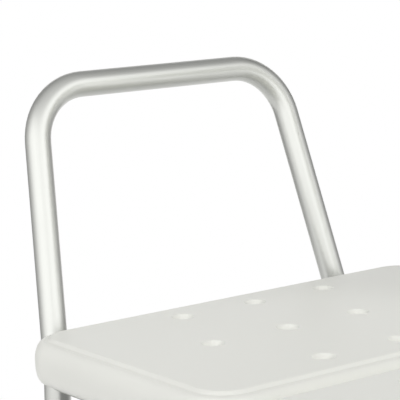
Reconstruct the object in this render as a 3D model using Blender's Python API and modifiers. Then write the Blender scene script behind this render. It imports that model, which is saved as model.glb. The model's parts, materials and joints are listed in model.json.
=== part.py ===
"""A bath chair of the bench kind: two moulded seat panels on a tube frame, an arm rail at one end,
a lift-off backrest, and four telescopic legs with snap buttons, two suction feet and two rubber tips.

Metres, +Z up. The bench runs along X with the arm rail at -X, and its front faces -Y.
Pieces are placed in a seat frame whose origin lies on the floor, under the middle of the seat's
rail-end edge. One empty moves that frame so that the whole bench is centred on the world origin."""

import math

import bmesh
import bpy
from mathutils import Matrix, Vector

# Clearances
GAP = 0.0003                    # between pieces that touch
BOLT_CLEARANCE = 0.0003         # round a shank in its hole

# Seat panels
SEAT_HEIGHT = 0.500             # floor to the seat's top, with the legs on their third hole
PANEL_LENGTH = 0.302            # along the bench
PANEL_WIDTH = 0.473             # front to back
PANEL_THICKNESS = 0.043
PANEL_CORNER = 0.042            # corner radius in plan
PANEL_EDGE = 0.013              # radius of the rounded edges, above and below an upright band
PANEL_GAP = 0.009               # between the two panels
PANEL_WALL = 0.0035
FIELD_INSET = 0.0142            # edge of the panel to the raised field
FIELD_RISE = 0.0018
FIELD_CORNER = 0.028
FIELD_SINK = 0.006              # how far the raised field reaches down into the panel
FIELD_CHAMFER = 0.0009
HOLE_MOUTH = 0.0188             # drain hole diameters
HOLE_THROAT = 0.009
HOLE_FUNNEL_DEPTH = 0.0049
HOLE_ROW_PITCH = 0.102          # between rows, along the bench
HOLE_ROWS = ((3, 0.086), (4, 0.084), (3, 0.086))  # holes of each row, and their pitch
VENT_DIAMETER = 0.006           # moulding vent under each panel
BOSS_DIAMETER = 0.016           # solid post round each screw, inside a panel

# Tubes
FRAME_TUBE = 0.0254             # outside diameter of frame and outer legs
FRAME_WALL = 0.0012
TELESCOPE_CLEARANCE = 0.0002    # leg extensions and backrest posts to the tubes they slide in
INNER_WALL = 0.0012
CROSS_TUBE = 0.0190
CROSS_WALL = 0.0015
TUBE_END_WALL = 0.014           # solid threaded end of a rail or cross tube
FRAME_BEND = 0.060              # centre-line radius of the arm rail's bends
KNEE_BEND = 0.040               # and of its knees, below the seat
ARM_BEND = 0.050                # centre-line radius of the backrest arms

# Arm rail
RAIL_OUTBOARD = 0.0433          # seat edge to the rail's axis, at seat height
RAIL_HALF_SPACING = 0.1725      # at seat height
RAIL_LEAN = math.radians(14.5)  # outwards, over the bath
RAIL_TAPER = math.radians(6.5)  # each side leans towards the other
RAIL_RISE = 0.2184              # seat height to the top bar's axis, along the lean
RAIL_KNEE_DROP = 0.055          # seat height down to the knee, along the lean

# Legs
RAIL_LEG_LEAN = math.radians(3.0)
OPEN_LEG_LEAN = math.radians(5.0)
OPEN_LEG_INSET = 0.049          # far seat edge to the leg's axis, at the side rails
OPEN_LEG_TOP_CLEARANCE = 0.003  # leg top to the seat's underside
LEG_MOUTH = 0.110               # floor to the outer leg's lower end, along the leg
HOLE_STEP = 0.0254              # height steps
STEPS_UP = 2                    # steps that the leg still shortens from rest
STEPS_DOWN = 4                  # steps that it still lengthens
LOWEST_HOLE_MARGIN = 0.015      # outer leg's end to the lowest hole
EXTENSION_OVERLAP = 0.030       # extension above its button
CROSS_CLEARANCE = 0.0226        # raised extension's top to the cross tubes' axes

# Feet
FOOT_FLOOR = 0.008              # rubber under the extension, along the leg
FOOT_SOCKET = 0.040             # height of a foot's socket, along the leg
FOOT_WALL = 0.0032              # rubber round the extension
TIP_FLARE = 0.0036              # how far the tip's base stands out past its socket
TIP_SKIRT = 0.012               # height of the flared base
TIP_SHOULDER = 0.024            # height where the flare ends
TIP_BELOW = 0.006               # tip below the floor before it is cut flat
CUP_DIAMETER = 0.058
CUP_THICKNESS = 0.005
CUP_HOLLOW = 0.004
CUP_RIM = 0.0018                # rim thickness
CUP_LIP = 0.004                 # flat lip that touches the floor
CUP_SHOULDER = 0.006            # edge to the full thickness
CUP_DISH = 0.013                # edge to the hollow's upper corner

# Collars at the outer legs' ends
COLLAR_WALL = 0.0020
COLLAR_GRIP = 0.010             # sleeve over the outer leg
COLLAR_LIP = 0.005              # below the outer leg

# Snap buttons
BUTTON_DIAMETER = 0.0060
BUTTON_PROUD = 0.0025           # head above the outer tube
BUTTON_CHAMFER = 0.0012
BUTTON_SPRING_LENGTH = 0.028
BUTTON_SPRING_WIDTH = 0.008
BUTTON_SPRING_THICKNESS = 0.0010
BUTTON_SPRING_CLEARANCE = 0.0012  # spring strip to the bore that it rests in

# Struts, bolts, rivets and screws
STRUT_REACH = 0.095             # leg axis to the rivet, along the side rail
STRUT_WIDTH = 0.020
STRUT_THICKNESS = 0.003
HEAD_EDGE = 0.35                # share of a head's height that stands upright
HEAD_FLAT = 0.28                # share of a head's diameter where its dome is flat
BOLT_SHANK = 0.0060
BOLT_HEAD = 0.0120
BOLT_HEAD_HEIGHT = 0.0040
RIVET_SHANK = 0.0048
RIVET_HEAD = 0.0095
RIVET_HEAD_HEIGHT = 0.0022
SCREW_SHANK = 0.0050
SCREW_HEAD = 0.0100
SCREW_HEAD_HEIGHT = 0.0030
SCREW_BITE = 0.016              # into the panel
OUTER_SCREW_INSET = 0.030       # seat edge to the first pair of screws
FAR_SCREW_INSET = 0.099         # far seat edge to the last pair of screws

# Backrest
BACK_SPACING = 0.244            # between the two arms and posts
BACK_LEAN = math.radians(6.0)
BACK_SETBACK = 0.0050           # seat's back edge to the arm tubes
ARM_FRONT_END = 0.018           # arm past the front side rail's axis
ARM_MOUTH = 0.105               # arm's axis to its mouth, along the post
POST_FOOT = 0.050               # arm's axis to the post's lower end, along the post
BACK_BUTTON_DROP = 0.018        # mouth to the button
BACK_RISE = 0.450               # arm's axis to the top bar's axis, along the post
BACK_BEND = 0.060
BACK_PANEL_WIDTH = 0.380
BACK_PANEL_HEIGHT = 0.190
BACK_PANEL_THICKNESS = 0.026
BACK_PANEL_CORNER = 0.045
BACK_PANEL_EDGE = 0.009
BACK_PANEL_TOP_GAP = 0.014      # panel's top to the top bar
BACK_FIELD_INSET = 0.014
BACK_FIELD_CORNER = 0.032
BACK_SCREW_BITE = 0.014
CAP_LIP = 0.0025                # tube cap outside the tube
CAP_PLUG = 0.012                # tube cap inside the tube
CAP_CHAMFER = 0.0015

# Facets
TUBE_SIDES = 14
ROUND_STEPS = 16
SMALL_STEPS = 8
DRAIN_STEPS = 10
SLEEVE_STEPS = 6
BEND_SEGMENTS = 5
KNEE_SEGMENTS = 2
CORNER_SEGMENTS = 4
EDGE_SEGMENTS = 4
HOLLOW_CORNER_SEGMENTS = 3
HOLLOW_EDGE_SEGMENTS = 2
STRUT_END_STEPS = 8
SMOOTH_BELOW = math.radians(35)  # edges that turn less are shaded smooth
CUT_MARGIN = 0.002              # how far a cutter runs past what it cuts
WELD = 0.00001

# Heights and places that follow from the sizes above
TUBE_R = FRAME_TUBE / 2
BORE_R = TUBE_R * math.cos(math.pi / TUBE_SIDES) - FRAME_WALL
INNER_R = BORE_R - TELESCOPE_CLEARANCE
SEAT_BOTTOM = SEAT_HEIGHT - PANEL_THICKNESS
SIDE_RAIL_Z = SEAT_BOTTOM - GAP - TUBE_R
ARM_Z = SIDE_RAIL_Z - FRAME_TUBE - GAP
SEAT_LENGTH = 2 * PANEL_LENGTH + PANEL_GAP
HALF_WIDTH = PANEL_WIDTH / 2
KNEE = Vector((
    -RAIL_OUTBOARD + RAIL_KNEE_DROP * math.sin(RAIL_LEAN),
    RAIL_HALF_SPACING + RAIL_KNEE_DROP * math.tan(RAIL_TAPER),
    SEAT_HEIGHT - RAIL_KNEE_DROP * math.cos(RAIL_LEAN),
))
LEG_Y = KNEE.y
OPEN_LEG_X = SEAT_LENGTH - OPEN_LEG_INSET
BUTTON_Z = LEG_MOUTH + LOWEST_HOLE_MARGIN + STEPS_DOWN * HOLE_STEP
CROSS_HEIGHT = BUTTON_Z + STEPS_UP * HOLE_STEP + EXTENSION_OVERLAP + CROSS_CLEARANCE
BACK_ARM_Y = HALF_WIDTH + BACK_SETBACK + TUBE_R
ARM_XS = ((SEAT_LENGTH - BACK_SPACING) / 2, (SEAT_LENGTH + BACK_SPACING) / 2)
SCREW_XS = (OUTER_SCREW_INSET, ARM_XS[0], ARM_XS[1], SEAT_LENGTH - FAR_SCREW_INSET)
RAIL_TOP_X = -RAIL_OUTBOARD - RAIL_RISE * math.sin(RAIL_LEAN)
SOCKET_R = INNER_R / math.cos(math.pi / ROUND_STEPS) + GAP
FOOT_NECK_R = SOCKET_R + FOOT_WALL
TIP_R = FOOT_NECK_R + TIP_FLARE
OPEN_FOOT_X = OPEN_LEG_X + SIDE_RAIL_Z * math.tan(OPEN_LEG_LEAN)
BENCH_X = (RAIL_TOP_X - TUBE_R, max(SEAT_LENGTH, OPEN_FOOT_X + TIP_R / math.cos(OPEN_LEG_LEAN)))
BENCH_Y = (-HALF_WIDTH, BACK_ARM_Y + BACK_RISE * math.sin(BACK_LEAN) + INNER_R)

SIDES = {"front": -1, "back": 1}
COLOURS = {
    "seat plastic": ((0.72, 0.72, 0.70), 0.45, 0.0),
    "anodised aluminium": ((0.60, 0.60, 0.61), 0.32, 1.0),
    "grey plastic": ((0.23, 0.24, 0.25), 0.50, 0.0),
    "grey rubber": ((0.16, 0.16, 0.17), 0.75, 0.0),
    "steel": ((0.55, 0.56, 0.58), 0.28, 1.0),
}


def start_empty_scene():
    """Remove what the file holds, and make one collection for the parts and one for the cutters."""
    for obj in list(bpy.data.objects):
        bpy.data.objects.remove(obj, do_unlink=True)
    made = []
    for name in ("bath_chair", "cutters"):
        collection = bpy.data.collections.new(name)
        bpy.context.scene.collection.children.link(collection)
        made.append(collection)
    return made


PARTS, CUTTERS = start_empty_scene()


def make_material(name):
    colour, roughness, metallic = COLOURS[name]
    material = bpy.data.materials.new(name)
    material.use_nodes = True
    shader = material.node_tree.nodes["Principled BSDF"]
    shader.inputs["Base Color"].default_value = (*colour, 1.0)
    shader.inputs["Roughness"].default_value = roughness
    shader.inputs["Metallic"].default_value = metallic
    return material


MATERIALS = {name: make_material(name) for name in COLOURS}


def add_empty(name, location, rotation=None, parent=None):
    """An empty that carries pieces: the bench's frame, a leg's axis or the backrest's axis."""
    empty = bpy.data.objects.new(name, None)
    empty.empty_display_size = 0.05
    PARTS.objects.link(empty)
    empty.parent = parent
    empty.location = location
    if rotation:
        empty.rotation_euler = rotation
    return empty


BENCH = add_empty("bench_frame", (-sum(BENCH_X) / 2, -sum(BENCH_Y) / 2, 0.0))


def place(obj, frame=BENCH, location=(0, 0, 0), along=None):
    """Put an object in a carrying frame, with its Z axis along a direction if one is given."""
    obj.parent = frame
    obj.location = location
    if along is not None:
        obj.rotation_euler = Vector(along).to_track_quat("Z", "Y").to_euler()
    return obj


def add_part(name, mesh, material, frame=BENCH, location=(0, 0, 0), along=None, smooth=True):
    obj = bpy.data.objects.new(name, mesh)
    PARTS.objects.link(obj)
    obj.data.materials.clear()
    obj.data.materials.append(MATERIALS[material])
    if smooth:
        obj.data.shade_smooth()
        obj.data.set_sharp_from_angle(angle=SMOOTH_BELOW)
    return place(obj, frame, location, along)


def add_cutter(name, mesh, frame=BENCH, location=(0, 0, 0), along=None):
    obj = bpy.data.objects.new(name, mesh)
    CUTTERS.objects.link(obj)
    obj.hide_render = True
    obj.display_type = "WIRE"
    return place(obj, frame, location, along)


def combine(target, tool, operation="DIFFERENCE"):
    """Cut one object from another, or join it on, with an exact Boolean."""
    modifier = target.modifiers.new(tool.name, "BOOLEAN")
    modifier.operation = operation
    modifier.solver = "EXACT"
    modifier.object = tool
    return modifier


def mesh_from(bm, name):
    mesh = bpy.data.meshes.new(name)
    bm.to_mesh(mesh)
    bm.free()
    return mesh


def rod_mesh(name, radius, start, end, sides=SMALL_STEPS):
    """A solid round bar between two points, as a mesh."""
    start = Vector(start)
    end = Vector(end)
    run = end - start
    turn = run.to_track_quat("Z", "Y").to_matrix().to_4x4() @ Matrix.Rotation(math.pi / sides, 4, "Z")
    bm = bmesh.new()
    bmesh.ops.create_cone(
        bm, cap_ends=True, segments=sides, radius1=radius, radius2=radius, depth=run.length,
        matrix=Matrix.Translation((start + end) / 2) @ turn)
    return mesh_from(bm, name)


def joined_mesh(name, meshes):
    """Several separate closed meshes as one, for a cutter that cuts in many places."""
    bm = bmesh.new()
    for mesh in meshes:
        bm.from_mesh(mesh)
    return mesh_from(bm, name)


def turned_mesh(name, profile, steps=ROUND_STEPS):
    """A profile of (radius, height) points, from the top down its outer side, turned about Z."""
    bm = bmesh.new()
    points = [bm.verts.new((radius, 0.0, height)) for radius, height in profile]
    for first, second in zip(points, points[1:]):
        bm.edges.new((first, second))
    if profile[0][0] > 0:
        bm.edges.new((points[-1], points[0]))
    outline = bpy.data.objects.new(name, mesh_from(bm, name))
    CUTTERS.objects.link(outline)
    screw = outline.modifiers.new("turn", "SCREW")
    screw.steps = steps
    screw.render_steps = steps
    screw.use_merge_vertices = True
    screw.merge_threshold = WELD
    return mesh_of(outline, name)


def mesh_of(source, name):
    """The evaluated mesh of an object, with its loose seams welded; the object is removed."""
    depsgraph = bpy.context.evaluated_depsgraph_get()
    mesh = bpy.data.meshes.new_from_object(source.evaluated_get(depsgraph))
    mesh.name = name
    bpy.data.objects.remove(source, do_unlink=True)
    bm = bmesh.new()
    bm.from_mesh(mesh)
    bmesh.ops.remove_doubles(bm, verts=bm.verts, dist=WELD)
    bm.to_mesh(mesh)
    bm.free()
    return mesh


def filleted_path(corners, radii, segments):
    """A path through corner points, with an arc of its own radius at each inner corner."""
    corners = [Vector(corner) for corner in corners]
    path = [corners[0]]
    for before, corner, after, radius, count in zip(corners, corners[1:], corners[2:], radii, segments):
        into = (corner - before).normalized()
        out = (after - corner).normalized()
        turn = into.angle(out)
        tangent = radius * math.tan(turn / 2)
        centre = corner + (out - into).normalized() * radius / math.cos(turn / 2)
        arm = corner - into * tangent - centre
        axis = into.cross(out).normalized()
        for step in range(count + 1):
            path.append(centre + Matrix.Rotation(turn * step / count, 3, axis) @ arm)
    path.append(corners[-1])
    return path


def swept_mesh(name, path, radius, capped):
    """A round bar along a path, as a mesh; open at its ends unless it is capped."""
    curve = bpy.data.curves.new(name, "CURVE")
    curve.dimensions = "3D"
    curve.bevel_depth = radius
    curve.bevel_resolution = (TUBE_SIDES - 4) // 2
    curve.use_fill_caps = capped
    spline = curve.splines.new("POLY")
    spline.points.add(len(path) - 1)
    for point, place_on_path in zip(spline.points, path):
        point.co = (*place_on_path, 1.0)
    bar = bpy.data.objects.new(name, curve)
    CUTTERS.objects.link(bar)
    return mesh_of(bar, name)


def add_tube(name, path, radius, wall, material="anodised aluminium", frame=BENCH):
    """A hollow tube along a path."""
    tube = add_part(name, swept_mesh(name, path, radius, capped=False), material, frame)
    shell = tube.modifiers.new("wall", "SOLIDIFY")
    shell.thickness = wall
    shell.offset = -1.0
    shell.use_even_offset = True
    return tube


def slab_mesh(name, length, width, thickness, corner, edge, corner_segments=CORNER_SEGMENTS,
              edge_segments=EDGE_SEGMENTS):
    """A flat slab with rounded corners in plan and rounded edges, centred on its own origin."""
    bm = bmesh.new()
    bmesh.ops.create_cube(bm, size=1.0)
    bmesh.ops.scale(bm, vec=(length, width, thickness), verts=bm.verts)
    upright = [e for e in bm.edges if abs(e.verts[0].co.z - e.verts[1].co.z) > thickness / 2]
    bmesh.ops.bevel(
        bm, geom=upright, offset=corner, offset_type="OFFSET", segments=corner_segments, profile=0.5,
        affect="EDGES")
    rim = [e for e in bm.edges
           if abs(e.verts[0].co.z - e.verts[1].co.z) < thickness / 2
           and any(abs(face.normal.z) > 0.9 for face in e.link_faces)]
    bmesh.ops.bevel(
        bm, geom=rim, offset=edge, offset_type="OFFSET", segments=edge_segments, profile=0.5,
        affect="EDGES")
    return mesh_from(bm, name)


def moulded_panel(name, length, width, thickness, corner, edge, field_inset, field_corner, bosses,
                  frame, location):
    """A hollow blow-moulded panel: rounded slab, raised field, inner space and screw posts.

    The bosses are (x, y) places of screws that come in from below."""
    base_thickness = thickness - FIELD_RISE
    base_centre = -FIELD_RISE / 2
    slab = slab_mesh(name, length, width, base_thickness, corner, edge)
    slab.transform(Matrix.Translation((0, 0, base_centre)))
    panel = add_part(name, slab, "seat plastic", frame, location)

    field_height = FIELD_RISE + FIELD_SINK
    field = slab_mesh(
        name + "_field", length - 2 * field_inset, width - 2 * field_inset, field_height, field_corner,
        FIELD_CHAMFER, edge_segments=1)
    field.transform(Matrix.Translation((0, 0, (thickness - field_height) / 2)))
    combine(panel, add_cutter(name + "_field", field, frame, location), "UNION")

    hollow = slab_mesh(
        name + "_hollow", length - 2 * PANEL_WALL, width - 2 * PANEL_WALL, base_thickness - 2 * PANEL_WALL,
        corner - PANEL_WALL, edge - PANEL_WALL, HOLLOW_CORNER_SEGMENTS, HOLLOW_EDGE_SEGMENTS)
    hollow.transform(Matrix.Translation((0, 0, base_centre)))
    space = add_cutter(name + "_hollow", hollow, frame, location)
    posts = [rod_mesh("post", BOSS_DIAMETER / 2, (x, y, -thickness), (x, y, thickness))
             for x, y in bosses]
    combine(space, add_cutter(name + "_posts", joined_mesh("posts", posts), frame, location))
    return panel, space


def drain_hole_places():
    """Centres of the drain holes on a panel: staggered rows across the bench."""
    middle_row = (len(HOLE_ROWS) - 1) / 2
    places = []
    for row, (count, pitch) in enumerate(HOLE_ROWS):
        for k in range(count):
            places.append(((row - middle_row) * HOLE_ROW_PITCH, (k - (count - 1) / 2) * pitch))
    return places


def copies_of(mesh, places):
    copies = []
    for x, y in places:
        copy = mesh.copy()
        copy.transform(Matrix.Translation((x, y, 0)))
        copies.append(copy)
    return copies


def seat_panel(name, start_x, screw_xs):
    """One seat panel with its drain holes, vent and screw holes."""
    centre = Vector((start_x + PANEL_LENGTH / 2, 0, SEAT_HEIGHT - PANEL_THICKNESS / 2))
    bosses = [(x - centre.x, side * LEG_Y) for x in screw_xs for side in SIDES.values()]
    panel, space = moulded_panel(
        name, PANEL_LENGTH, PANEL_WIDTH, PANEL_THICKNESS, PANEL_CORNER, PANEL_EDGE, FIELD_INSET,
        FIELD_CORNER, bosses, BENCH, centre)
    top = PANEL_THICKNESS / 2
    mouth = HOLE_MOUTH / 2
    throat = HOLE_THROAT / 2
    slope = (mouth - throat) / HOLE_FUNNEL_DEPTH
    sleeve = turned_mesh("sleeve", [
        (0, top + CUT_MARGIN),
        (mouth + PANEL_WALL, top + CUT_MARGIN),
        (throat + PANEL_WALL, top - HOLE_FUNNEL_DEPTH),
        (throat + PANEL_WALL, -top - CUT_MARGIN),
        (0, -top - CUT_MARGIN)], SLEEVE_STEPS)
    sleeves = joined_mesh("sleeves", copies_of(sleeve, drain_hole_places()))
    combine(space, add_cutter(name + "_sleeves", sleeves, BENCH, centre))
    combine(panel, space)

    funnel = turned_mesh("funnel", [
        (0, top + CUT_MARGIN),
        (mouth + slope * CUT_MARGIN, top + CUT_MARGIN),
        (throat, top - HOLE_FUNNEL_DEPTH),
        (throat, -top - CUT_MARGIN),
        (0, -top - CUT_MARGIN)], DRAIN_STEPS)
    holes = copies_of(funnel, drain_hole_places())
    holes.append(rod_mesh(
        "vent", VENT_DIAMETER / 2, (0, 0, -top - CUT_MARGIN), (0, 0, -top + PANEL_WALL + CUT_MARGIN)))
    for x, y in bosses:
        holes.append(rod_mesh(
            "screw hole", SCREW_SHANK / 2 + BOLT_CLEARANCE, (x, y, -top - CUT_MARGIN),
            (x, y, -top + SCREW_BITE + 2 * GAP)))
    combine(panel, add_cutter(name + "_holes", joined_mesh("holes", holes), BENCH, centre))
    return panel


def leg_up(lean, outward):
    """Unit vector up a leg that leans outwards (towards -X or +X) on its way down."""
    return Vector((-outward * math.sin(lean), 0, math.cos(lean)))


def leg_frame(name, through, lean, outward, side):
    """An empty where a leg's axis meets the floor, with its Z axis up the leg."""
    up = leg_up(lean, outward)
    floor_point = Vector((through.x, side * LEG_Y, through.z)) - up * (through.z / up.z)
    return add_empty(name, floor_point, (0, math.atan2(up.x, up.z), 0), BENCH)


LEGS = {
    "rail_end": dict(lean=RAIL_LEG_LEAN, outward=-1, through=Vector((KNEE.x, 0, KNEE.z))),
    "open_end": dict(lean=OPEN_LEG_LEAN, outward=1, through=Vector((OPEN_LEG_X, 0, SIDE_RAIL_Z))),
}


def rail_end_path():
    """The axis of the bent tube that makes both rail-end legs and the arm rail, from its back foot."""
    up = leg_up(RAIL_LEG_LEAN, -1)
    mouth = Vector((KNEE.x, LEG_Y, KNEE.z)) - up * (KNEE.z / up.z - LEG_MOUTH)
    corner = Vector((
        RAIL_TOP_X,
        RAIL_HALF_SPACING - RAIL_RISE * math.tan(RAIL_TAPER),
        SEAT_HEIGHT + RAIL_RISE * math.cos(RAIL_LEAN),
    ))
    back = [mouth, KNEE, corner]
    front = [Vector((p.x, -p.y, p.z)) for p in reversed(back)]
    return filleted_path(
        back + front, (KNEE_BEND, FRAME_BEND, FRAME_BEND, KNEE_BEND),
        (KNEE_SEGMENTS, BEND_SEGMENTS, BEND_SEGMENTS, KNEE_SEGMENTS))


RAIL_END_PATH = rail_end_path()


def axis_at(end, height):
    """The point of a leg's axis at a height above the floor, in the bench's middle plane."""
    leg = LEGS[end]
    up = leg_up(leg["lean"], leg["outward"])
    x = leg["through"].x + up.x / up.z * (height - leg["through"].z)
    if end == "rail_end":
        for low, high in zip(RAIL_END_PATH, RAIL_END_PATH[1:]):
            if low.z <= height < high.z:
                x = low.x + (high.x - low.x) * (height - low.z) / (high.z - low.z)
    return Vector((x, 0, height))


def leg_face(end, outward, height, half_span):
    """How far out a leg's tube reaches within a half span of a height, where a flat head can sit."""
    axis_xs = [axis_at(end, height + offset).x for offset in (-half_span, 0, half_span)]
    steepest = max(RAIL_LEAN if end == "rail_end" else 0, LEGS[end]["lean"])
    return outward * (max(outward * x for x in axis_xs) + TUBE_R / math.cos(steepest))


def snap_hole_cutters(side, places, radius, inner_side):
    """Round cutters through one wall of a tube, at places (x, z) of its own frame."""
    return [rod_mesh("snap hole", radius, (x, side * inner_side, z), (x, side * FRAME_TUBE, z))
            for x, z in places]


SNAP_HOLE_R = BUTTON_DIAMETER / 2 + GAP
LEG_HOLE_HEIGHTS = [BUTTON_Z + (STEPS_UP - step) * HOLE_STEP for step in range(STEPS_UP + STEPS_DOWN + 1)]


def cut_leg_holes(tube, end, side, frame):
    """The row of height holes, the cross-tube bolt hole and the side-rail bolt hole of one outer leg."""
    row = snap_hole_cutters(side, [(0, z) for z in LEG_HOLE_HEIGHTS], SNAP_HOLE_R, INNER_R / 2)
    combine(tube, add_cutter("{}_{}_row".format(end, side), joined_mesh("row", row), frame))
    bolt_r = BOLT_SHANK / 2 + BOLT_CLEARANCE
    cross = axis_at(end, CROSS_HEIGHT)
    top = axis_at(end, SIDE_RAIL_Z)
    y = side * LEG_Y
    bolts = [
        rod_mesh("cross bolt hole", bolt_r, (cross.x, y - TUBE_R - CUT_MARGIN, cross.z),
                 (cross.x, y + TUBE_R + CUT_MARGIN, cross.z)),
        rod_mesh("rail bolt hole", bolt_r, (top.x - FRAME_TUBE, y, top.z), (top.x + FRAME_TUBE, y, top.z)),
    ]
    combine(tube, add_cutter("{}_{}_bolts".format(end, side), joined_mesh("bolts", bolts)))


def rail_end_frame(frames):
    """Both rail-end legs and the arm rail, bent from one tube."""
    tube = add_tube("rail_end_frame", RAIL_END_PATH, TUBE_R, FRAME_WALL)
    for label, side in SIDES.items():
        cut_leg_holes(tube, "rail_end", side, frames["rail_end", label])


def open_end_leg(label, side, frames):
    """A straight outer leg under the open end of the seat."""
    up = leg_up(OPEN_LEG_LEAN, 1)
    axis = axis_at("open_end", SEAT_BOTTOM - OPEN_LEG_TOP_CLEARANCE - TUBE_R * math.sin(OPEN_LEG_LEAN))
    top = Vector((axis.x, side * LEG_Y, axis.z))
    foot = axis_at("open_end", 0)
    mouth = Vector((foot.x, side * LEG_Y, 0)) + up * LEG_MOUTH
    tube = add_tube("open_end_leg_" + label, [mouth, top], TUBE_R, FRAME_WALL)
    cut_leg_holes(tube, "open_end", side, frames["open_end", label])


def side_rail(label, side):
    """A tube under the seat's long side, coped round the leg at each end and threaded there."""
    y = side * LEG_Y
    start = axis_at("rail_end", SIDE_RAIL_Z).x
    end = axis_at("open_end", SIDE_RAIL_Z).x
    rail = add_part(
        "side_rail_" + label,
        rod_mesh("side rail", TUBE_R, (start, y, SIDE_RAIL_Z), (end, y, SIDE_RAIL_Z), TUBE_SIDES),
        "anodised aluminium")
    cope = TUBE_R + GAP
    combine(rail, add_cutter(
        "rail_end_cope_" + label, swept_mesh("rail end cope", RAIL_END_PATH, cope, capped=True)))
    foot = axis_at("open_end", 0)
    top = axis_at("open_end", SEAT_HEIGHT)
    combine(rail, add_cutter(
        "open_end_cope_" + label,
        swept_mesh("open end cope", [Vector((foot.x, y, foot.z)), Vector((top.x, y, top.z))], cope,
                   capped=True)))
    wall = TUBE_R + TUBE_END_WALL
    bolt_r = BOLT_SHANK / 2 + BOLT_CLEARANCE
    combine(rail, add_cutter("side_rail_bore_" + label, rod_mesh(
        "bore", TUBE_R - FRAME_WALL, (start + wall, y, SIDE_RAIL_Z), (end - wall, y, SIDE_RAIL_Z),
        TUBE_SIDES)))
    combine(rail, add_cutter(
        "side_rail_ends_" + label,
        rod_mesh("end bolts", bolt_r, (start, y, SIDE_RAIL_Z), (end, y, SIDE_RAIL_Z))))
    across = []
    for x in SCREW_XS:
        across.append(rod_mesh(
            "screw hole", SCREW_SHANK / 2 + BOLT_CLEARANCE, (x, y, SIDE_RAIL_Z - FRAME_TUBE),
            (x, y, SIDE_RAIL_Z + FRAME_TUBE)))
    for end_name, towards in (("rail_end", 1), ("open_end", -1)):
        x = axis_at(end_name, SIDE_RAIL_Z).x + towards * STRUT_REACH
        across.append(rod_mesh(
            "rivet hole", RIVET_SHANK / 2 + BOLT_CLEARANCE, (x, y - FRAME_TUBE, SIDE_RAIL_Z),
            (x, y + FRAME_TUBE, SIDE_RAIL_Z)))
    combine(rail, add_cutter("side_rail_holes_" + label, joined_mesh("across", across)))


STRUT_INNER = LEG_Y - TUBE_R - GAP - STRUT_THICKNESS


def arc_points(centre_x, radius, start, sweep, steps):
    """Points along an arc round a centre on the X axis; the last one is left out on a full circle."""
    count = steps if sweep == 2 * math.pi else steps + 1
    angles = [start + sweep * k / steps for k in range(count)]
    return [(centre_x + radius * math.cos(a), radius * math.sin(a), 0) for a in angles]


def strut(end, towards, label, side):
    """A flat bar with round ends, from the leg's cross-tube bolt up to the side rail's rivet."""
    low = axis_at(end, CROSS_HEIGHT)
    high = Vector((axis_at(end, SIDE_RAIL_Z).x + towards * STRUT_REACH, 0, SIDE_RAIL_Z))
    run = high - low
    name = "strut_{}_{}".format(end, label)
    curve = bpy.data.curves.new(name, "CURVE")
    curve.dimensions = "2D"
    curve.fill_mode = "BOTH"
    curve.extrude = STRUT_THICKNESS / 2
    outlines = [
        arc_points(0, STRUT_WIDTH / 2, math.pi / 2, math.pi, STRUT_END_STEPS)
        + arc_points(run.length, STRUT_WIDTH / 2, -math.pi / 2, math.pi, STRUT_END_STEPS),
        arc_points(0, BOLT_SHANK / 2 + BOLT_CLEARANCE, 0, 2 * math.pi, SMALL_STEPS),
        arc_points(run.length, RIVET_SHANK / 2 + BOLT_CLEARANCE, 0, 2 * math.pi, SMALL_STEPS),
    ]
    for outline in outlines:
        spline = curve.splines.new("POLY")
        spline.points.add(len(outline) - 1)
        for point, corner in zip(spline.points, outline):
            point.co = (*corner, 1.0)
        spline.use_cyclic_u = True
    flat = bpy.data.objects.new(name, curve)
    CUTTERS.objects.link(flat)
    bar = add_part(name, mesh_of(flat, name), "anodised aluminium", smooth=False)
    bar.location = (low.x, side * (STRUT_INNER + STRUT_THICKNESS / 2), low.z)
    bar.rotation_euler = (math.pi / 2, -math.atan2(run.z, run.x), 0)


def cross_tube(end):
    """A tube between the front and back legs, threaded at its ends."""
    at = axis_at(end, CROSS_HEIGHT)
    half = STRUT_INNER - GAP
    tube = add_part(
        "cross_tube_" + end,
        rod_mesh("cross tube", CROSS_TUBE / 2, (at.x, -half, at.z), (at.x, half, at.z), TUBE_SIDES),
        "anodised aluminium")
    inner = half - TUBE_END_WALL
    combine(tube, add_cutter("cross_bore_" + end, rod_mesh(
        "cross bore", CROSS_TUBE / 2 - CROSS_WALL, (at.x, -inner, at.z), (at.x, inner, at.z), TUBE_SIDES)))
    combine(tube, add_cutter("cross_ends_" + end, rod_mesh(
        "cross ends", BOLT_SHANK / 2 + BOLT_CLEARANCE, (at.x, -half - CUT_MARGIN, at.z),
        (at.x, half + CUT_MARGIN, at.z))))


def headed_mesh(name, head, head_height, shank, length, tail=0.0):
    """A bolt, screw or rivet on Z: domed head above its seat at zero, shank below, and a tail head."""
    edge = head_height * HEAD_EDGE
    flat = head * HEAD_FLAT
    profile = [(0, head_height), (flat, head_height), (head / 2, edge), (head / 2, 0),
               (shank / 2, 0), (shank / 2, -length)]
    if tail:
        profile += [(head / 2, -length), (head / 2, -length - tail * HEAD_EDGE), (flat, -length - tail),
                    (0, -length - tail)]
    else:
        profile += [(0, -length)]
    return turned_mesh(name, profile, SMALL_STEPS)


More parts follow.
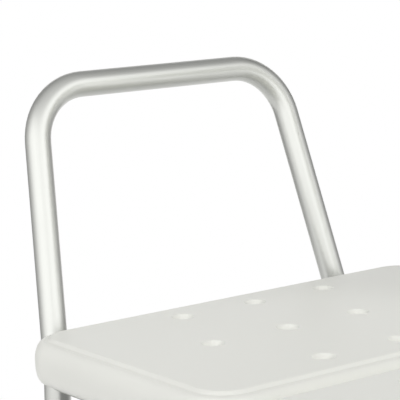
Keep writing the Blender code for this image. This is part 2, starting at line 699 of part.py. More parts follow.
def frame_bolts(label, side):
    """The bolts of one side: leg to side rail, and leg to strut and cross tube."""
    for end, outward in (("rail_end", -1), ("open_end", 1)):
        top = axis_at(end, SIDE_RAIL_Z)
        head_seat = leg_face(end, outward, SIDE_RAIL_Z, BOLT_HEAD / 2) + outward * GAP
        reach = abs(head_seat - top.x) + TUBE_R + TUBE_END_WALL
        bolt = headed_mesh("rail bolt", BOLT_HEAD, BOLT_HEAD_HEIGHT, BOLT_SHANK, reach)
        add_part("side_rail_bolt_{}_{}".format(end, label), bolt, "steel", BENCH,
                 (head_seat, side * LEG_Y, top.z), (outward, 0, 0))
        cross = axis_at(end, CROSS_HEIGHT)
        reach = 2 * TUBE_R + STRUT_THICKNESS + 4 * GAP + TUBE_END_WALL
        bolt = headed_mesh("cross bolt", BOLT_HEAD, BOLT_HEAD_HEIGHT, BOLT_SHANK, reach)
        add_part("cross_bolt_{}_{}".format(end, label), bolt, "steel", BENCH,
                 (cross.x, side * (LEG_Y + TUBE_R + GAP), cross.z), (0, side, 0))


def strut_rivets(label, side):
    for end, towards in (("rail_end", 1), ("open_end", -1)):
        x = axis_at(end, SIDE_RAIL_Z).x + towards * STRUT_REACH
        length = 2 * TUBE_R + STRUT_THICKNESS + 3 * GAP
        rivet = headed_mesh("rivet", RIVET_HEAD, RIVET_HEAD_HEIGHT, RIVET_SHANK, length, RIVET_HEAD_HEIGHT)
        add_part("strut_rivet_{}_{}".format(end, label), rivet, "steel", BENCH,
                 (x, side * (LEG_Y + TUBE_R + GAP), SIDE_RAIL_Z), (0, side, 0))


def seat_screws(label, side):
    """Screws that come up through the side rail, and through the backrest arm where one crosses."""
    for number, x in enumerate(SCREW_XS, start=1):
        under = ARM_Z if x in ARM_XS else SIDE_RAIL_Z
        seat = under - TUBE_R - GAP
        screw = headed_mesh("seat screw", SCREW_HEAD, SCREW_HEAD_HEIGHT, SCREW_SHANK,
                            SEAT_BOTTOM + SCREW_BITE - seat)
        add_part("seat_screw_{}_{}".format(label, number), screw, "steel", BENCH,
                 (x, side * LEG_Y, seat), (0, 0, -1))


def snap_button(name, frame, x, z, side, outer_radius):
    """A snap button with the spring strip that carries it, inside an inner tube."""
    strip_out = INNER_R - INNER_WALL - BUTTON_SPRING_CLEARANCE
    strip_in = strip_out - BUTTON_SPRING_THICKNESS
    head = outer_radius + BUTTON_PROUD
    radius = BUTTON_DIAMETER / 2
    pin = turned_mesh(name, [
        (0, head),
        (radius - BUTTON_CHAMFER, head),
        (radius, head - BUTTON_CHAMFER),
        (radius, strip_in + BUTTON_SPRING_THICKNESS / 2),
        (0, strip_in + BUTTON_SPRING_THICKNESS / 2)], SMALL_STEPS)
    button = add_part(name, pin, "steel", frame, (x, 0, z), (0, side, 0))
    bm = bmesh.new()
    bmesh.ops.create_cube(bm, size=1.0)
    bmesh.ops.scale(
        bm, vec=(BUTTON_SPRING_WIDTH, BUTTON_SPRING_LENGTH, BUTTON_SPRING_THICKNESS), verts=bm.verts)
    bmesh.ops.translate(bm, vec=(0, 0, (strip_in + strip_out) / 2), verts=bm.verts)
    strip = add_cutter(name + "_strip", mesh_from(bm, "strip"), frame, (x, 0, z), (0, side, 0))
    combine(button, strip, "UNION")


def leg_extension(end, label, side, frame):
    """The inner leg tube with its button hole, collar, snap button and foot."""
    tube = add_tube(
        "leg_extension_{}_{}".format(end, label),
        [(0, 0, FOOT_FLOOR + GAP), (0, 0, BUTTON_Z + EXTENSION_OVERLAP)], INNER_R, INNER_WALL, frame=frame)
    hole = snap_hole_cutters(side, [(0, BUTTON_Z)], SNAP_HOLE_R, INNER_R / 2)
    combine(tube, add_cutter("extension_hole_{}_{}".format(end, label), hole[0], frame))
    snap_button("leg_button_{}_{}".format(end, label), frame, 0, BUTTON_Z, side, TUBE_R)

    bore = INNER_R + GAP
    sleeve = TUBE_R + GAP
    collar = turned_mesh("collar", [
        (sleeve, LEG_MOUTH + COLLAR_GRIP),
        (sleeve + COLLAR_WALL, LEG_MOUTH + COLLAR_GRIP),
        (sleeve + COLLAR_WALL, LEG_MOUTH - COLLAR_LIP),
        (bore, LEG_MOUTH - COLLAR_LIP),
        (bore, LEG_MOUTH - GAP),
        (sleeve, LEG_MOUTH - GAP)])
    add_part("leg_collar_{}_{}".format(end, label), collar, "grey plastic", frame)


def foot_bore(name, frame):
    """The hole that a foot has for the leg extension."""
    return add_cutter(name, rod_mesh(
        "foot bore", SOCKET_R, (0, 0, FOOT_FLOOR), (0, 0, 2 * FOOT_SOCKET), ROUND_STEPS), frame)


def rubber_tip(label, frame):
    """The tip on an open-end leg, cut flat where it stands."""
    name = "rubber_tip_" + label
    profile = [
        (0, FOOT_SOCKET),
        (FOOT_NECK_R, FOOT_SOCKET),
        (FOOT_NECK_R, TIP_SHOULDER),
        (TIP_R, TIP_SKIRT),
        (TIP_R, -TIP_BELOW),
        (0, -TIP_BELOW)]
    tip = add_part(name, turned_mesh(name, profile), "grey rubber", frame)
    combine(tip, foot_bore(name + "_bore", frame))
    bm = bmesh.new()
    bmesh.ops.create_cube(bm, size=4 * TIP_R)
    bmesh.ops.translate(bm, vec=(0, 0, -2 * TIP_R), verts=bm.verts)
    combine(tip, add_cutter(name + "_floor", mesh_from(bm, name), BENCH, frame.location))


def suction_foot(label, frame):
    """The suction cup on a rail-end leg: a dished disc on the floor under a neck round the leg."""
    name = "suction_foot_" + label
    edge = CUP_DIAMETER / 2
    top = CUP_THICKNESS + CUP_HOLLOW
    disc = turned_mesh(name, [
        (0, top),
        (FOOT_NECK_R, top),
        (edge - CUP_SHOULDER, CUP_THICKNESS),
        (edge, CUP_RIM),
        (edge, 0),
        (edge - CUP_LIP, 0),
        (edge - CUP_DISH, CUP_HOLLOW),
        (0, CUP_HOLLOW)])
    foot = add_part(name, disc, "grey rubber", BENCH, frame.location)
    neck_mesh = turned_mesh("foot neck", [
        (0, FOOT_SOCKET),
        (FOOT_NECK_R, FOOT_SOCKET),
        (FOOT_NECK_R, top - CUT_MARGIN),
        (0, top - CUT_MARGIN)])
    combine(foot, add_cutter(name + "_neck", neck_mesh, frame), "UNION")
    combine(foot, foot_bore(name + "_bore", frame))


def backrest_arm(label, x):
    """An arm under the seat that turns up behind it and takes one post of the backrest."""
    up = Vector((0, math.sin(BACK_LEAN), math.cos(BACK_LEAN)))
    corner = Vector((x, BACK_ARM_Y, ARM_Z))
    front = Vector((x, -LEG_Y - ARM_FRONT_END, ARM_Z))
    path = filleted_path([front, corner, corner + up * ARM_MOUTH], (ARM_BEND,), (BEND_SEGMENTS,))
    arm = add_tube("backrest_arm_" + label, path, TUBE_R, FRAME_WALL)
    holes = []
    for side in SIDES.values():
        holes.append(rod_mesh(
            "screw hole", SCREW_SHANK / 2 + BOLT_CLEARANCE, (x, side * LEG_Y, ARM_Z - FRAME_TUBE),
            (x, side * LEG_Y, ARM_Z + FRAME_TUBE)))
    combine(arm, add_cutter("arm_screw_holes_" + label, joined_mesh("arm holes", holes)))
    return arm, front


def arm_cap(label, front):
    """The plug in an arm's front end."""
    plug = BORE_R - GAP
    cap = turned_mesh("arm cap", [
        (0, GAP + CAP_LIP),
        (TUBE_R - CAP_CHAMFER, GAP + CAP_LIP),
        (TUBE_R, GAP + CAP_LIP - CAP_CHAMFER),
        (TUBE_R, GAP),
        (plug, GAP),
        (plug, -CAP_PLUG),
        (0, -CAP_PLUG)])
    add_part("arm_cap_" + label, cap, "grey plastic", BENCH, front, (0, -1, 0))


def backrest():
    """Arms, caps, bent post frame, moulded back panel, snap buttons and screws of the backrest."""
    middle = SEAT_LENGTH / 2
    axis = add_empty("backrest_axis", (middle, BACK_ARM_Y, ARM_Z), (-BACK_LEAN, 0, 0), BENCH)
    half = BACK_SPACING / 2
    corners = [(-half, 0, POST_FOOT), (-half, 0, BACK_RISE), (half, 0, BACK_RISE), (half, 0, POST_FOOT)]
    path = filleted_path(corners, (BACK_BEND,) * 2, (BEND_SEGMENTS,) * 2)
    frame = add_tube("backrest_frame", path, INNER_R, INNER_WALL, frame=axis)

    button_z = ARM_MOUTH - BACK_BUTTON_DROP
    posts = ((-half, "rail_end"), (half, "open_end"))
    post_holes = snap_hole_cutters(1, [(x, button_z) for x, _ in posts], SNAP_HOLE_R, INNER_R / 2)
    panel_z = BACK_RISE - INNER_R - BACK_PANEL_TOP_GAP - BACK_PANEL_HEIGHT / 2
    panel_y = -(INNER_R + GAP + BACK_PANEL_THICKNESS / 2)
    for x, _ in posts:
        post_holes.append(rod_mesh(
            "panel screw hole", SCREW_SHANK / 2 + BOLT_CLEARANCE, (x, -2 * INNER_R, panel_z),
            (x, 2 * INNER_R, panel_z)))
    combine(frame, add_cutter("backrest_frame_holes", joined_mesh("post holes", post_holes), axis))

    for (x, label), arm_x in zip(posts, ARM_XS):
        arm, front = backrest_arm(label, arm_x)
        hole = snap_hole_cutters(1, [(x, button_z)], SNAP_HOLE_R, INNER_R / 2)
        combine(arm, add_cutter("arm_button_hole_" + label, hole[0], axis))
        arm_cap(label, front)
        snap_button("back_button_" + label, axis, x, button_z, 1, TUBE_R)
        screw = headed_mesh("back screw", SCREW_HEAD, SCREW_HEAD_HEIGHT, SCREW_SHANK,
                            2 * INNER_R + 2 * GAP + BACK_SCREW_BITE)
        add_part("back_screw_" + label, screw, "steel", axis, (x, INNER_R + GAP, panel_z), (0, 1, 0))

    bosses = [(x, 0) for x, _ in posts]
    panel, space = moulded_panel(
        "backrest_panel", BACK_PANEL_WIDTH, BACK_PANEL_HEIGHT, BACK_PANEL_THICKNESS, BACK_PANEL_CORNER,
        BACK_PANEL_EDGE, BACK_FIELD_INSET, BACK_FIELD_CORNER, bosses, axis, (0, panel_y, panel_z))
    combine(panel, space)
    back = -BACK_PANEL_THICKNESS / 2
    holes = [rod_mesh(
        "back vent", VENT_DIAMETER / 2, (0, 0, back - CUT_MARGIN), (0, 0, back + PANEL_WALL + CUT_MARGIN))]
    for x, y in bosses:
        holes.append(rod_mesh(
            "back screw hole", SCREW_SHANK / 2 + BOLT_CLEARANCE, (x, y, back - CUT_MARGIN),
            (x, y, back + BACK_SCREW_BITE + 2 * GAP)))
    combine(panel, add_cutter("backrest_panel_holes", joined_mesh("back holes", holes), axis,
                              (0, panel_y, panel_z)))
    # the panel stands on edge: its top face looks forwards, over the seat
    pieces = [panel] + [m.object for m in panel.modifiers] + [m.object for m in space.modifiers]
    for piece in pieces:
        piece.rotation_euler = (math.pi / 2, 0, 0)


def build():
    seat_panel("seat_panel_rail_end", 0, SCREW_XS[:2])
    seat_panel("seat_panel_open_end", PANEL_LENGTH + PANEL_GAP, SCREW_XS[2:])
    frames = {}
    for end, leg in LEGS.items():
        for label, side in SIDES.items():
            frames[end, label] = leg_frame(
                "leg_axis_{}_{}".format(end, label), leg["through"], leg["lean"], leg["outward"], side)
    rail_end_frame(frames)
    for end, towards in (("rail_end", 1), ("open_end", -1)):
        cross_tube(end)
        for label, side in SIDES.items():
            strut(end, towards, label, side)
            leg_extension(end, label, side, frames[end, label])
    for label, side in SIDES.items():
        open_end_leg(label, side, frames)
        side_rail(label, side)
        frame_bolts(label, side)
        strut_rivets(label, side)
        seat_screws(label, side)
        suction_foot(label, frames["rail_end", label])
        rubber_tip(label, frames["open_end", label])
    backrest()


build()
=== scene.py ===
"""The look of a bath transfer bench: two moulded seat panels on an anodised tube frame, an arm rail
at one end, a lift-off backrest, telescopic legs, suction feet and rubber tips.

Metres, +Z up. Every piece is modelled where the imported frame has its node, and stands for that node.
The seat frame has its origin on the floor under the middle of the seat's rail-end edge, with the bench
along +X and its front towards -Y."""

import json
import math

import bmesh
import bpy
from mathutils import Matrix, Vector


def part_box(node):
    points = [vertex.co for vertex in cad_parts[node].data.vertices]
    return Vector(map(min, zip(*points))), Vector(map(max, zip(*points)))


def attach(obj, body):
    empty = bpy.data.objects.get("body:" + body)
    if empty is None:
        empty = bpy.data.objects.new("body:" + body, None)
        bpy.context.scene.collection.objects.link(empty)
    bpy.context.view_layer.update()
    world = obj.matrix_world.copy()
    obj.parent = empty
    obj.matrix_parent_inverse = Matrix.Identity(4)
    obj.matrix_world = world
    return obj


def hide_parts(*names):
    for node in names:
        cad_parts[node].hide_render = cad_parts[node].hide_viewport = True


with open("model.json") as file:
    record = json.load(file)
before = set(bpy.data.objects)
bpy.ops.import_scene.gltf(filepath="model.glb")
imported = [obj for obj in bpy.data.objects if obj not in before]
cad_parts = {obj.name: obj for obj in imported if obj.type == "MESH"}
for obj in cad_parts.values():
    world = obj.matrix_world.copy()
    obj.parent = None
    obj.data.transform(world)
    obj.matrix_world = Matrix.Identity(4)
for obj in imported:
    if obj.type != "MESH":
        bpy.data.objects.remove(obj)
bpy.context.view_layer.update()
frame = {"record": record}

GAP = 0.0003
CLEAR = 0.0003

# Seat panels
PANEL_LENGTH = 0.302
PANEL_WIDTH = 0.473
PANEL_THICKNESS = 0.043
PANEL_CORNER = 0.042
PANEL_GAP = 0.009
FIELD_RISE = 0.0030
# A panel's edge: the roll above its widest line and the one below, each as reach in and squareness, then how far in
# the soft step up to the field starts, and how wide it is
PANEL_EDGE = ((0.0100, 2.2), (0.0160, 3.1), 0.0120, 0.0045)
WIDEST = 0.0016                 # the widest line above the middle of the edge
HOLE_MOUTH = 0.0210
HOLE_THROAT = 0.009
HOLE_DEPTH = 0.0078
HOLE_LIP = 0.0025               # rounding of a drain hole's mouth
HOLE_ROW_PITCH = 0.102
HOLE_ROWS = ((3, 0.086), (4, 0.084), (3, 0.086))
VENT_R = 0.003

# Tubes
TUBE_R = 0.0127
TUBE_WALL = 0.0012
INNER_R = 0.01098
INNER_WALL = 0.0012
CROSS_R = 0.0095
RIM = 0.0004                    # rounding of a cut tube end

# Arm rail and legs
RAIL_OUTBOARD = 0.0433
RAIL_HALF_SPACING = 0.1725
RAIL_LEAN = math.radians(14.5)
RAIL_TAPER = math.radians(6.5)
RAIL_RISE = 0.2184
RAIL_BEND = 0.060
KNEE_DROP = 0.055
KNEE_BEND = 0.040
RAIL_LEG_LEAN = math.radians(3.0)
OPEN_LEG_LEAN = math.radians(5.0)
OPEN_LEG_INSET = 0.049
LEG_MOUTH = 0.110
HOLE_STEP = 0.0254
STEPS_UP = 2
STEPS_DOWN = 4
BUTTON_Z = 0.2266
EXTENSION_TOP = 0.2566
CROSS_HEIGHT = 0.330
SNAP_HOLE_R = 0.0033

# Feet and collars
FOOT_FLOOR = 0.008
SOCKET_R = 0.0115
FOOT_NECK_R = 0.0147
FOOT_SOCKET = 0.040
TIP_R = 0.0183
CUP_R = 0.029
CUP_TOP = 0.009
CUP_EDGE = 0.0018
CUP_CURVE = 1.6                 # how quickly the cup falls from its neck
CUP_HOLLOW = 0.004
NECK_GROOVES = (0.034, 0.029, 0.024)
TIP_NECK_GROOVE = 0.0345
TIP_GROOVES = (0.0100, 0.0070, 0.0040)
FLARE_TOP = 0.0240
FLARE_HEIGHT = 0.0120
TIP_BELOW = 0.006               # how far a tip is made below the floor, before it is cut flat
COLLAR_WALL = 0.0020
COLLAR_DOWN = 0.005             # the collar's reach below the outer leg's mouth, and above it
COLLAR_UP = 0.010

# Fasteners
BOLT_R = 0.0030
BOLT_HEAD_R = 0.0060
BOLT_HEAD_HEIGHT = 0.0040
RIVET_R = 0.0024
RIVET_HEAD_R = 0.00475
RIVET_HEAD_HEIGHT = 0.0022
SCREW_R = 0.0025
SCREW_HEAD_R = 0.0050
SCREW_HEAD_HEIGHT = 0.0030
SCREW_BITE = 0.016
THREAD_PITCH = 0.0012
THREAD_DEPTH = 0.00035
CROSS_SLOT = (0.0054, 0.0011, 0.0036)
CROSS_SLOT_FOOT = 0.45          # the share of a slot's length that is left at its foot
HEX_R = 0.0023
HEX_FLOOR = 0.0016
END_WALL = 0.014
STRUT_REACH = 0.095
STRUT_WIDTH = 0.020
STRUT_THICKNESS = 0.003
BUTTON_R = 0.0030
BUTTON_PROUD = 0.0025
BUTTON_DOME = 0.0014
STRIP = (0.008, 0.028, 0.001)   # the spring strip of a button

# Backrest
BACK_SPACING = 0.244
BACK_LEAN = math.radians(6.0)
BACK_SETBACK = 0.005
ARM_BEND = 0.050
ARM_FRONT_END = 0.018
ARM_MOUTH = 0.105
CAP_LIP = 0.0025
CAP_RIM = 0.0008
CAP_REACH = 0.012
POST_FOOT = 0.050
BACK_BUTTON_Z = ARM_MOUTH - 0.018
BACK_RISE = 0.450
BACK_BEND = 0.060
BACK_PANEL_WIDTH = 0.380
BACK_PANEL_HEIGHT = 0.190
BACK_PANEL_THICKNESS = 0.026
BACK_PANEL_CORNER = 0.045
BACK_PANEL_EDGE = ((0.0080, 2.2), (0.0100, 2.6), 0.0095, 0.0080)
BACK_PANEL_TOP_GAP = 0.014
BACK_SCREW_BITE = 0.014

# Facets
TUBE_SIDES = 32
BEND_STEPS = 14
KNEE_STEPS = 6
TURN_STEPS = 32
CUP_STEPS = 48
CORNER_STEPS = 12

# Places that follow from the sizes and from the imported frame
panel_low, panel_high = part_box("seat_panel_rail_end")
SEAT_TOP = panel_high.z
SEAT = Matrix.Translation((panel_low.x, (panel_low.y + panel_high.y) / 2, 0))
SEAT_BOTTOM = SEAT_TOP - PANEL_THICKNESS
SIDE_RAIL_Z = SEAT_BOTTOM - GAP - TUBE_R
ARM_Z = SIDE_RAIL_Z - 2 * TUBE_R - GAP
SEAT_LENGTH = 2 * PANEL_LENGTH + PANEL_GAP
KNEE = Vector((
    -RAIL_OUTBOARD + KNEE_DROP * math.sin(RAIL_LEAN),
    RAIL_HALF_SPACING + KNEE_DROP * math.tan(RAIL_TAPER),
    SEAT_TOP - KNEE_DROP * math.cos(RAIL_LEAN)))
LEG_Y = KNEE.y
BACK_ARM_Y = PANEL_WIDTH / 2 + BACK_SETBACK + TUBE_R
ARM_XS = ((SEAT_LENGTH - BACK_SPACING) / 2, (SEAT_LENGTH + BACK_SPACING) / 2)
SCREW_XS = (0.030, ARM_XS[0], ARM_XS[1], SEAT_LENGTH - 0.099)
STRUT_INNER = LEG_Y - TUBE_R - GAP - STRUT_THICKNESS
SIDES = {"front": -1, "back": 1}
ENDS = {"rail_end": -1, "open_end": 1}
BODY_OF = {node: body for body, nodes in frame["record"]["behaviour"]["bodies"].items() for node in nodes}


# Shader groups that several finishes share

SOCKET_KINDS = {"Place": "NodeSocketVector", "Normal": "NodeSocketVector", "Colour": "NodeSocketColor"}


def node(tree, kind, settings=None, **values):
    """A node with its properties set, and its inputs given as numbers, colours or sockets to link.

    An input goes by its name, or by i and its number."""
    made = tree.nodes.new(kind)
    for key, value in (settings or {}).items():
        setattr(made, key, value)
    for key, value in values.items():
        socket = made.inputs[int(key[1:])] if key[0] == "i" and key[1:].isdigit() else made.inputs[key]
        if isinstance(value, bpy.types.NodeSocket):
            tree.links.new(value, socket)
        else:
            socket.default_value = value
    return made


def maths(tree, operation, *values, clamp=False):
    inputs = {f"i{k}": value for k, value in enumerate(values)}
    return node(tree, "ShaderNodeMath", {"operation": operation, "use_clamp": clamp}, **inputs).outputs[0]


def remap(tree, value, low, high, to_low=0.0, to_high=1.0):
    made = node(tree, "ShaderNodeMapRange", i0=value, i1=low, i2=high, i3=to_low, i4=to_high)
    return made.outputs[0]


def noise(tree, place, size, detail, roughness=0.5):
    """Noise at a place, with its size counted in features a metre."""
    return node(tree, "ShaderNodeTexNoise", Vector=place, Scale=size, Detail=detail,
                Roughness=roughness).outputs[0]


def drawn_out(tree, place, share):
    """A place whose second axis counts for less, so that what is laid on it is drawn out along it."""
    return node(tree, "ShaderNodeVectorMath", {"operation": "MULTIPLY"}, i0=place,
                i1=(1.0, share, 1.0)).outputs[0]


def bump(tree, depth, height):
    return node(tree, "ShaderNodeBump", Strength=1.0, Distance=depth, Height=height).outputs[0]


def shader_group(build, inputs, outputs):
    """A node group with named sockets. Its build takes its tree and inputs, and returns its outputs."""
    tree = bpy.data.node_groups.new(build.__name__, "ShaderNodeTree")
    for way, names in (("INPUT", inputs), ("OUTPUT", outputs)):
        for name in names:
            kind = SOCKET_KINDS.get(name, "NodeSocketFloat")
            tree.interface.new_socket(name=name, in_out=way, socket_type=kind)
    given = tree.nodes.new("NodeGroupInput").outputs
    out = tree.nodes.new("NodeGroupOutput").inputs
    for name, result in zip(outputs, build(tree, *[given[name] for name in inputs])):
        tree.links.new(result, out[name])
    return tree


def tone_drift(tree, place, colour, size, amount):
    """A colour that drifts a little lighter and darker over the surface."""
    patches = noise(tree, place, size, 3.0)
    spread = remap(tree, patches, 0.3, 0.7, -1.0, 1.0)
    share = maths(tree, "MULTIPLY_ADD", spread, amount, 1.0)
    tinted = node(tree, "ShaderNodeVectorMath", {"operation": "SCALE"}, i0=colour, Scale=share)
    return tinted.outputs[0], patches


def moulded_grain(tree, place, size, depth):
    """The fine orange-peel of a moulded surface, as a normal."""
    fine = noise(tree, place, size, 2.0)
    wide = noise(tree, place, maths(tree, "MULTIPLY", size, 0.13), 2.0)
    return (bump(tree, depth, maths(tree, "MULTIPLY_ADD", wide, 1.6, fine)),)


def draw_lines(tree, place, fineness, depth):
    """Fine lines along a drawn tube: a mask from 0 to 1, and a normal. Its place is (round, along)."""
    lines = noise(tree, drawn_out(tree, place, 0.006), fineness, 3.0, 0.65)
    mask = remap(tree, lines, 0.32, 0.68)
    return mask, bump(tree, depth, mask)


def scuffs(tree, place, size, share):
    """Sparse short scuffs, as a mask from 0 to 1."""
    here = remap(tree, noise(tree, place, size, 2.0), 0.52, 0.72)
    streak_size = maths(tree, "MULTIPLY", size, 18.0)
    streaks = remap(tree, noise(tree, drawn_out(tree, place, 0.12), streak_size, 4.0, 0.7), 0.58, 0.70)
    return (maths(tree, "MULTIPLY", maths(tree, "MULTIPLY", here, streaks), share, clamp=True),)


def edge_wear(tree, place, reach):
    """Where a piece's edges stand proud and are rubbed, as a mask from 0 to 1."""
    proud = node(tree, "ShaderNodeNewGeometry").outputs["Pointiness"]
    edge = remap(tree, proud, 0.51, maths(tree, "ADD", 0.52, reach))
    rubbed = remap(tree, noise(tree, place, 300.0, 3.0), 0.35, 0.65, 0.35, 1.0)
    return (maths(tree, "MULTIPLY", edge, rubbed, clamp=True),)


TONE_DRIFT = shader_group(tone_drift, ("Place", "Colour", "Size", "Amount"), ("Colour", "Value"))
MOULDED_GRAIN = shader_group(moulded_grain, ("Place", "Size", "Depth"), ("Normal",))
DRAW_LINES = shader_group(draw_lines, ("Place", "Fineness", "Depth"), ("Mask", "Normal"))
SCUFFS = shader_group(scuffs, ("Place", "Size", "Share"), ("Mask",))
EDGE_WEAR = shader_group(edge_wear, ("Place", "Reach"), ("Mask",))


# Finishes

EDGE_REACH = 0.05


def new_material(name):
    material = bpy.data.materials.new(name)
    material.use_nodes = True
    return material, material.node_tree


def start_finish(name, roughness, metallic=0.0, **shader_values):
    """A material with its Principled shader set; returns it with its tree, shader and place socket."""
    material, tree = new_material(name)
    shader = tree.nodes["Principled BSDF"]
    shader.inputs["Roughness"].default_value = roughness
    shader.inputs["Metallic"].default_value = metallic
    for key, value in shader_values.items():
        shader.inputs[key.replace("_", " ")].default_value = value
    place = tree.nodes.new("ShaderNodeTexCoord").outputs["Object"]
    return material, tree, shader, place


def use_group(tree, group, **values):
    """A group's outputs, by name."""
    return node(tree, "ShaderNodeGroup", {"node_tree": group}, **values).outputs


def mix_colour(tree, share, first, second):
    return node(tree, "ShaderNodeMix", {"data_type": "RGBA"}, i0=share, i6=first, i7=second).outputs[2]


def link_shader(tree, shader, colour, normal, roughness):
    for name, socket in (("Base Color", colour), ("Normal", normal), ("Roughness", roughness)):
        tree.links.new(socket, shader.inputs[name])


def darker(colour, share):
    return tuple(share * c for c in colour[:3]) + (1.0,)


def moulded_finish(name, colour, worn, roughness, grain, depth, drift, wear, **shader_values):
    """A moulded plastic or rubber: drifting tone, orange-peel, scuffs and rubbed edges."""
    material, tree, shader, place = start_finish(name, roughness, **shader_values)
    tone = use_group(tree, TONE_DRIFT, Place=place, Colour=colour, Size=9.0, Amount=drift)
    rubbed = use_group(tree, EDGE_WEAR, Place=place, Reach=EDGE_REACH)["Mask"]
    marks = use_group(tree, SCUFFS, Place=place, Size=26.0, Share=wear)["Mask"]
    share = maths(tree, "MAXIMUM", marks, maths(tree, "MULTIPLY", rubbed, wear))
    peel = use_group(tree, MOULDED_GRAIN, Place=place, Size=grain, Depth=depth)
    spread = remap(tree, tone["Value"], 0.3, 0.7, roughness - 0.04, roughness + 0.05)
    link_shader(tree, shader, mix_colour(tree, share, tone["Colour"], worn), peel["Normal"],
                maths(tree, "MULTIPLY_ADD", share, 0.25, spread))
    return material


def tube_finish(name, colour, streak, roughness, depth):
    """Satin metal drawn into tube: lines along it, a drifting tone and a few scuffs."""
    material, tree, shader, place = start_finish(name, roughness, metallic=1.0)
    along = node(tree, "ShaderNodeUVMap", {"uv_map": "tube"}).outputs[0]
    lines = use_group(tree, DRAW_LINES, Place=along, Fineness=2600.0, Depth=depth)
    tone = use_group(tree, TONE_DRIFT, Place=place, Colour=colour, Size=14.0, Amount=0.012)
    marks = use_group(tree, SCUFFS, Place=place, Size=34.0, Share=0.25)["Mask"]
    lined = mix_colour(tree, maths(tree, "MULTIPLY", lines["Mask"], streak), tone["Colour"],
                       darker(colour, 0.86))
    rough = remap(tree, lines["Mask"], 0.0, 1.0, roughness - 0.03, roughness + 0.05)
    link_shader(tree, shader, mix_colour(tree, marks, lined, darker(colour, 0.9)), lines["Normal"],
                maths(tree, "MULTIPLY_ADD", marks, 0.12, rough))
    return material


def plated_finish(name, colour, rubbed_colour, roughness):
    """Bright zinc plate: cloudy tone, faint grain and rubbed edges."""
    material, tree, shader, place = start_finish(name, roughness, metallic=1.0)
    tone = use_group(tree, TONE_DRIFT, Place=place, Colour=colour, Size=160.0, Amount=0.07)
    rubbed = use_group(tree, EDGE_WEAR, Place=place, Reach=EDGE_REACH)["Mask"]
    grain = use_group(tree, MOULDED_GRAIN, Place=place, Size=2200.0, Depth=0.000012)
    link_shader(tree, shader, mix_colour(tree, rubbed, tone["Colour"], rubbed_colour), grain["Normal"],
                remap(tree, tone["Value"], 0.3, 0.7, roughness - 0.06, roughness + 0.10))
    return material


FINISHES = {
    "seat_plastic": moulded_finish(
        "white_seat_plastic", (0.795, 0.797, 0.752, 1.0), (0.74, 0.74, 0.70, 1.0), 0.42, 900.0, 0.00003,
        0.010, 0.10, Specular_IOR_Level=0.45),
    "anodised_aluminium": tube_finish("anodised_tube", (0.65, 0.657, 0.627, 1.0), 0.25, 0.34, 0.000012),
    "steel": plated_finish("zinc_plated_steel", (0.62, 0.63, 0.64, 1.0), (0.78, 0.78, 0.78, 1.0), 0.30),
    "grey_plastic": moulded_finish(
        "grey_plastic", (0.23, 0.24, 0.25, 1.0), (0.33, 0.34, 0.35, 1.0), 0.50, 1400.0, 0.00004, 0.05, 0.5),
    "grey_rubber": moulded_finish(
        "grey_rubber", (0.155, 0.155, 0.162, 1.0), (0.24, 0.24, 0.245, 1.0), 0.72, 1100.0, 0.00006, 0.08,
        0.6, Specular_IOR_Level=0.35),
}


# Modelling

# Degrees from which an edge stays a crease, and the finishes whose wide faces are shaded evenly
CREASE = 32
CREASES = {"seat_plastic": 50}
EVEN_SHADED = ("seat_plastic", "anodised_aluminium")


def mesh_from(bm, name):
    mesh = bpy.data.meshes.new(name)
    bm.to_mesh(mesh)
    bm.free()
    return mesh


def new_object(data, name=None):
    obj = bpy.data.objects.new(name or data.name, data)
    bpy.context.scene.collection.objects.link(obj)
    return obj


def carved(mesh, cuts=(), joins=()):
    """The mesh with other meshes joined on and then cut out."""
    body = new_object(mesh)
    tools = [(new_object(m), "UNION") for m in joins] + [(new_object(m), "DIFFERENCE") for m in cuts]
    for tool, operation in tools:
        step = body.modifiers.new(tool.name, "BOOLEAN")
        step.operation = operation
        step.solver = "EXACT"
        step.object = tool
    bpy.context.view_layer.update()
    depsgraph = bpy.context.evaluated_depsgraph_get()
    result = bpy.data.meshes.new_from_object(body.evaluated_get(depsgraph))
    result.name = mesh.name
    for obj in [body] + [tool for tool, _ in tools]:
        bpy.data.objects.remove(obj, do_unlink=True)
    return result


def joined(name, meshes):
    bm = bmesh.new()
    for mesh in meshes:
        bm.from_mesh(mesh)
    return mesh_from(bm, name)


def block(size, height):
    """A box on the Z axis with its middle at a height, still to be finished as a mesh."""
    bm = bmesh.new()
    bmesh.ops.create_cube(bm, size=1.0)
    bmesh.ops.scale(bm, vec=size, verts=bm.verts)
    bmesh.ops.translate(bm, vec=(0, 0, height), verts=bm.verts)
    return bm


def add_piece(cad_node, mesh, slot, matrix):
    """A finished piece that stands for one CAD node and moves with its body."""
    mesh.shade_smooth()
    mesh.set_sharp_from_angle(angle=math.radians(CREASES.get(slot, CREASE)))
    mesh.materials.clear()
    mesh.materials.append(FINISHES[slot])
    piece = new_object(mesh, cad_node + "_finished")
    piece.matrix_world = matrix
    if slot in EVEN_SHADED:
        even = piece.modifiers.new("even shading", "WEIGHTED_NORMAL")
        even.keep_sharp = True
    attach(piece, BODY_OF[cad_node])
    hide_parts(cad_node)
    return piece


def bridge(bm, first, second, closed=True):
    """Quads between two rings of vertices."""
    count = len(first)
    return [bm.faces.new((first[k], first[(k + 1) % count], second[(k + 1) % count], second[k]))
            for k in range(count if closed else count - 1)]


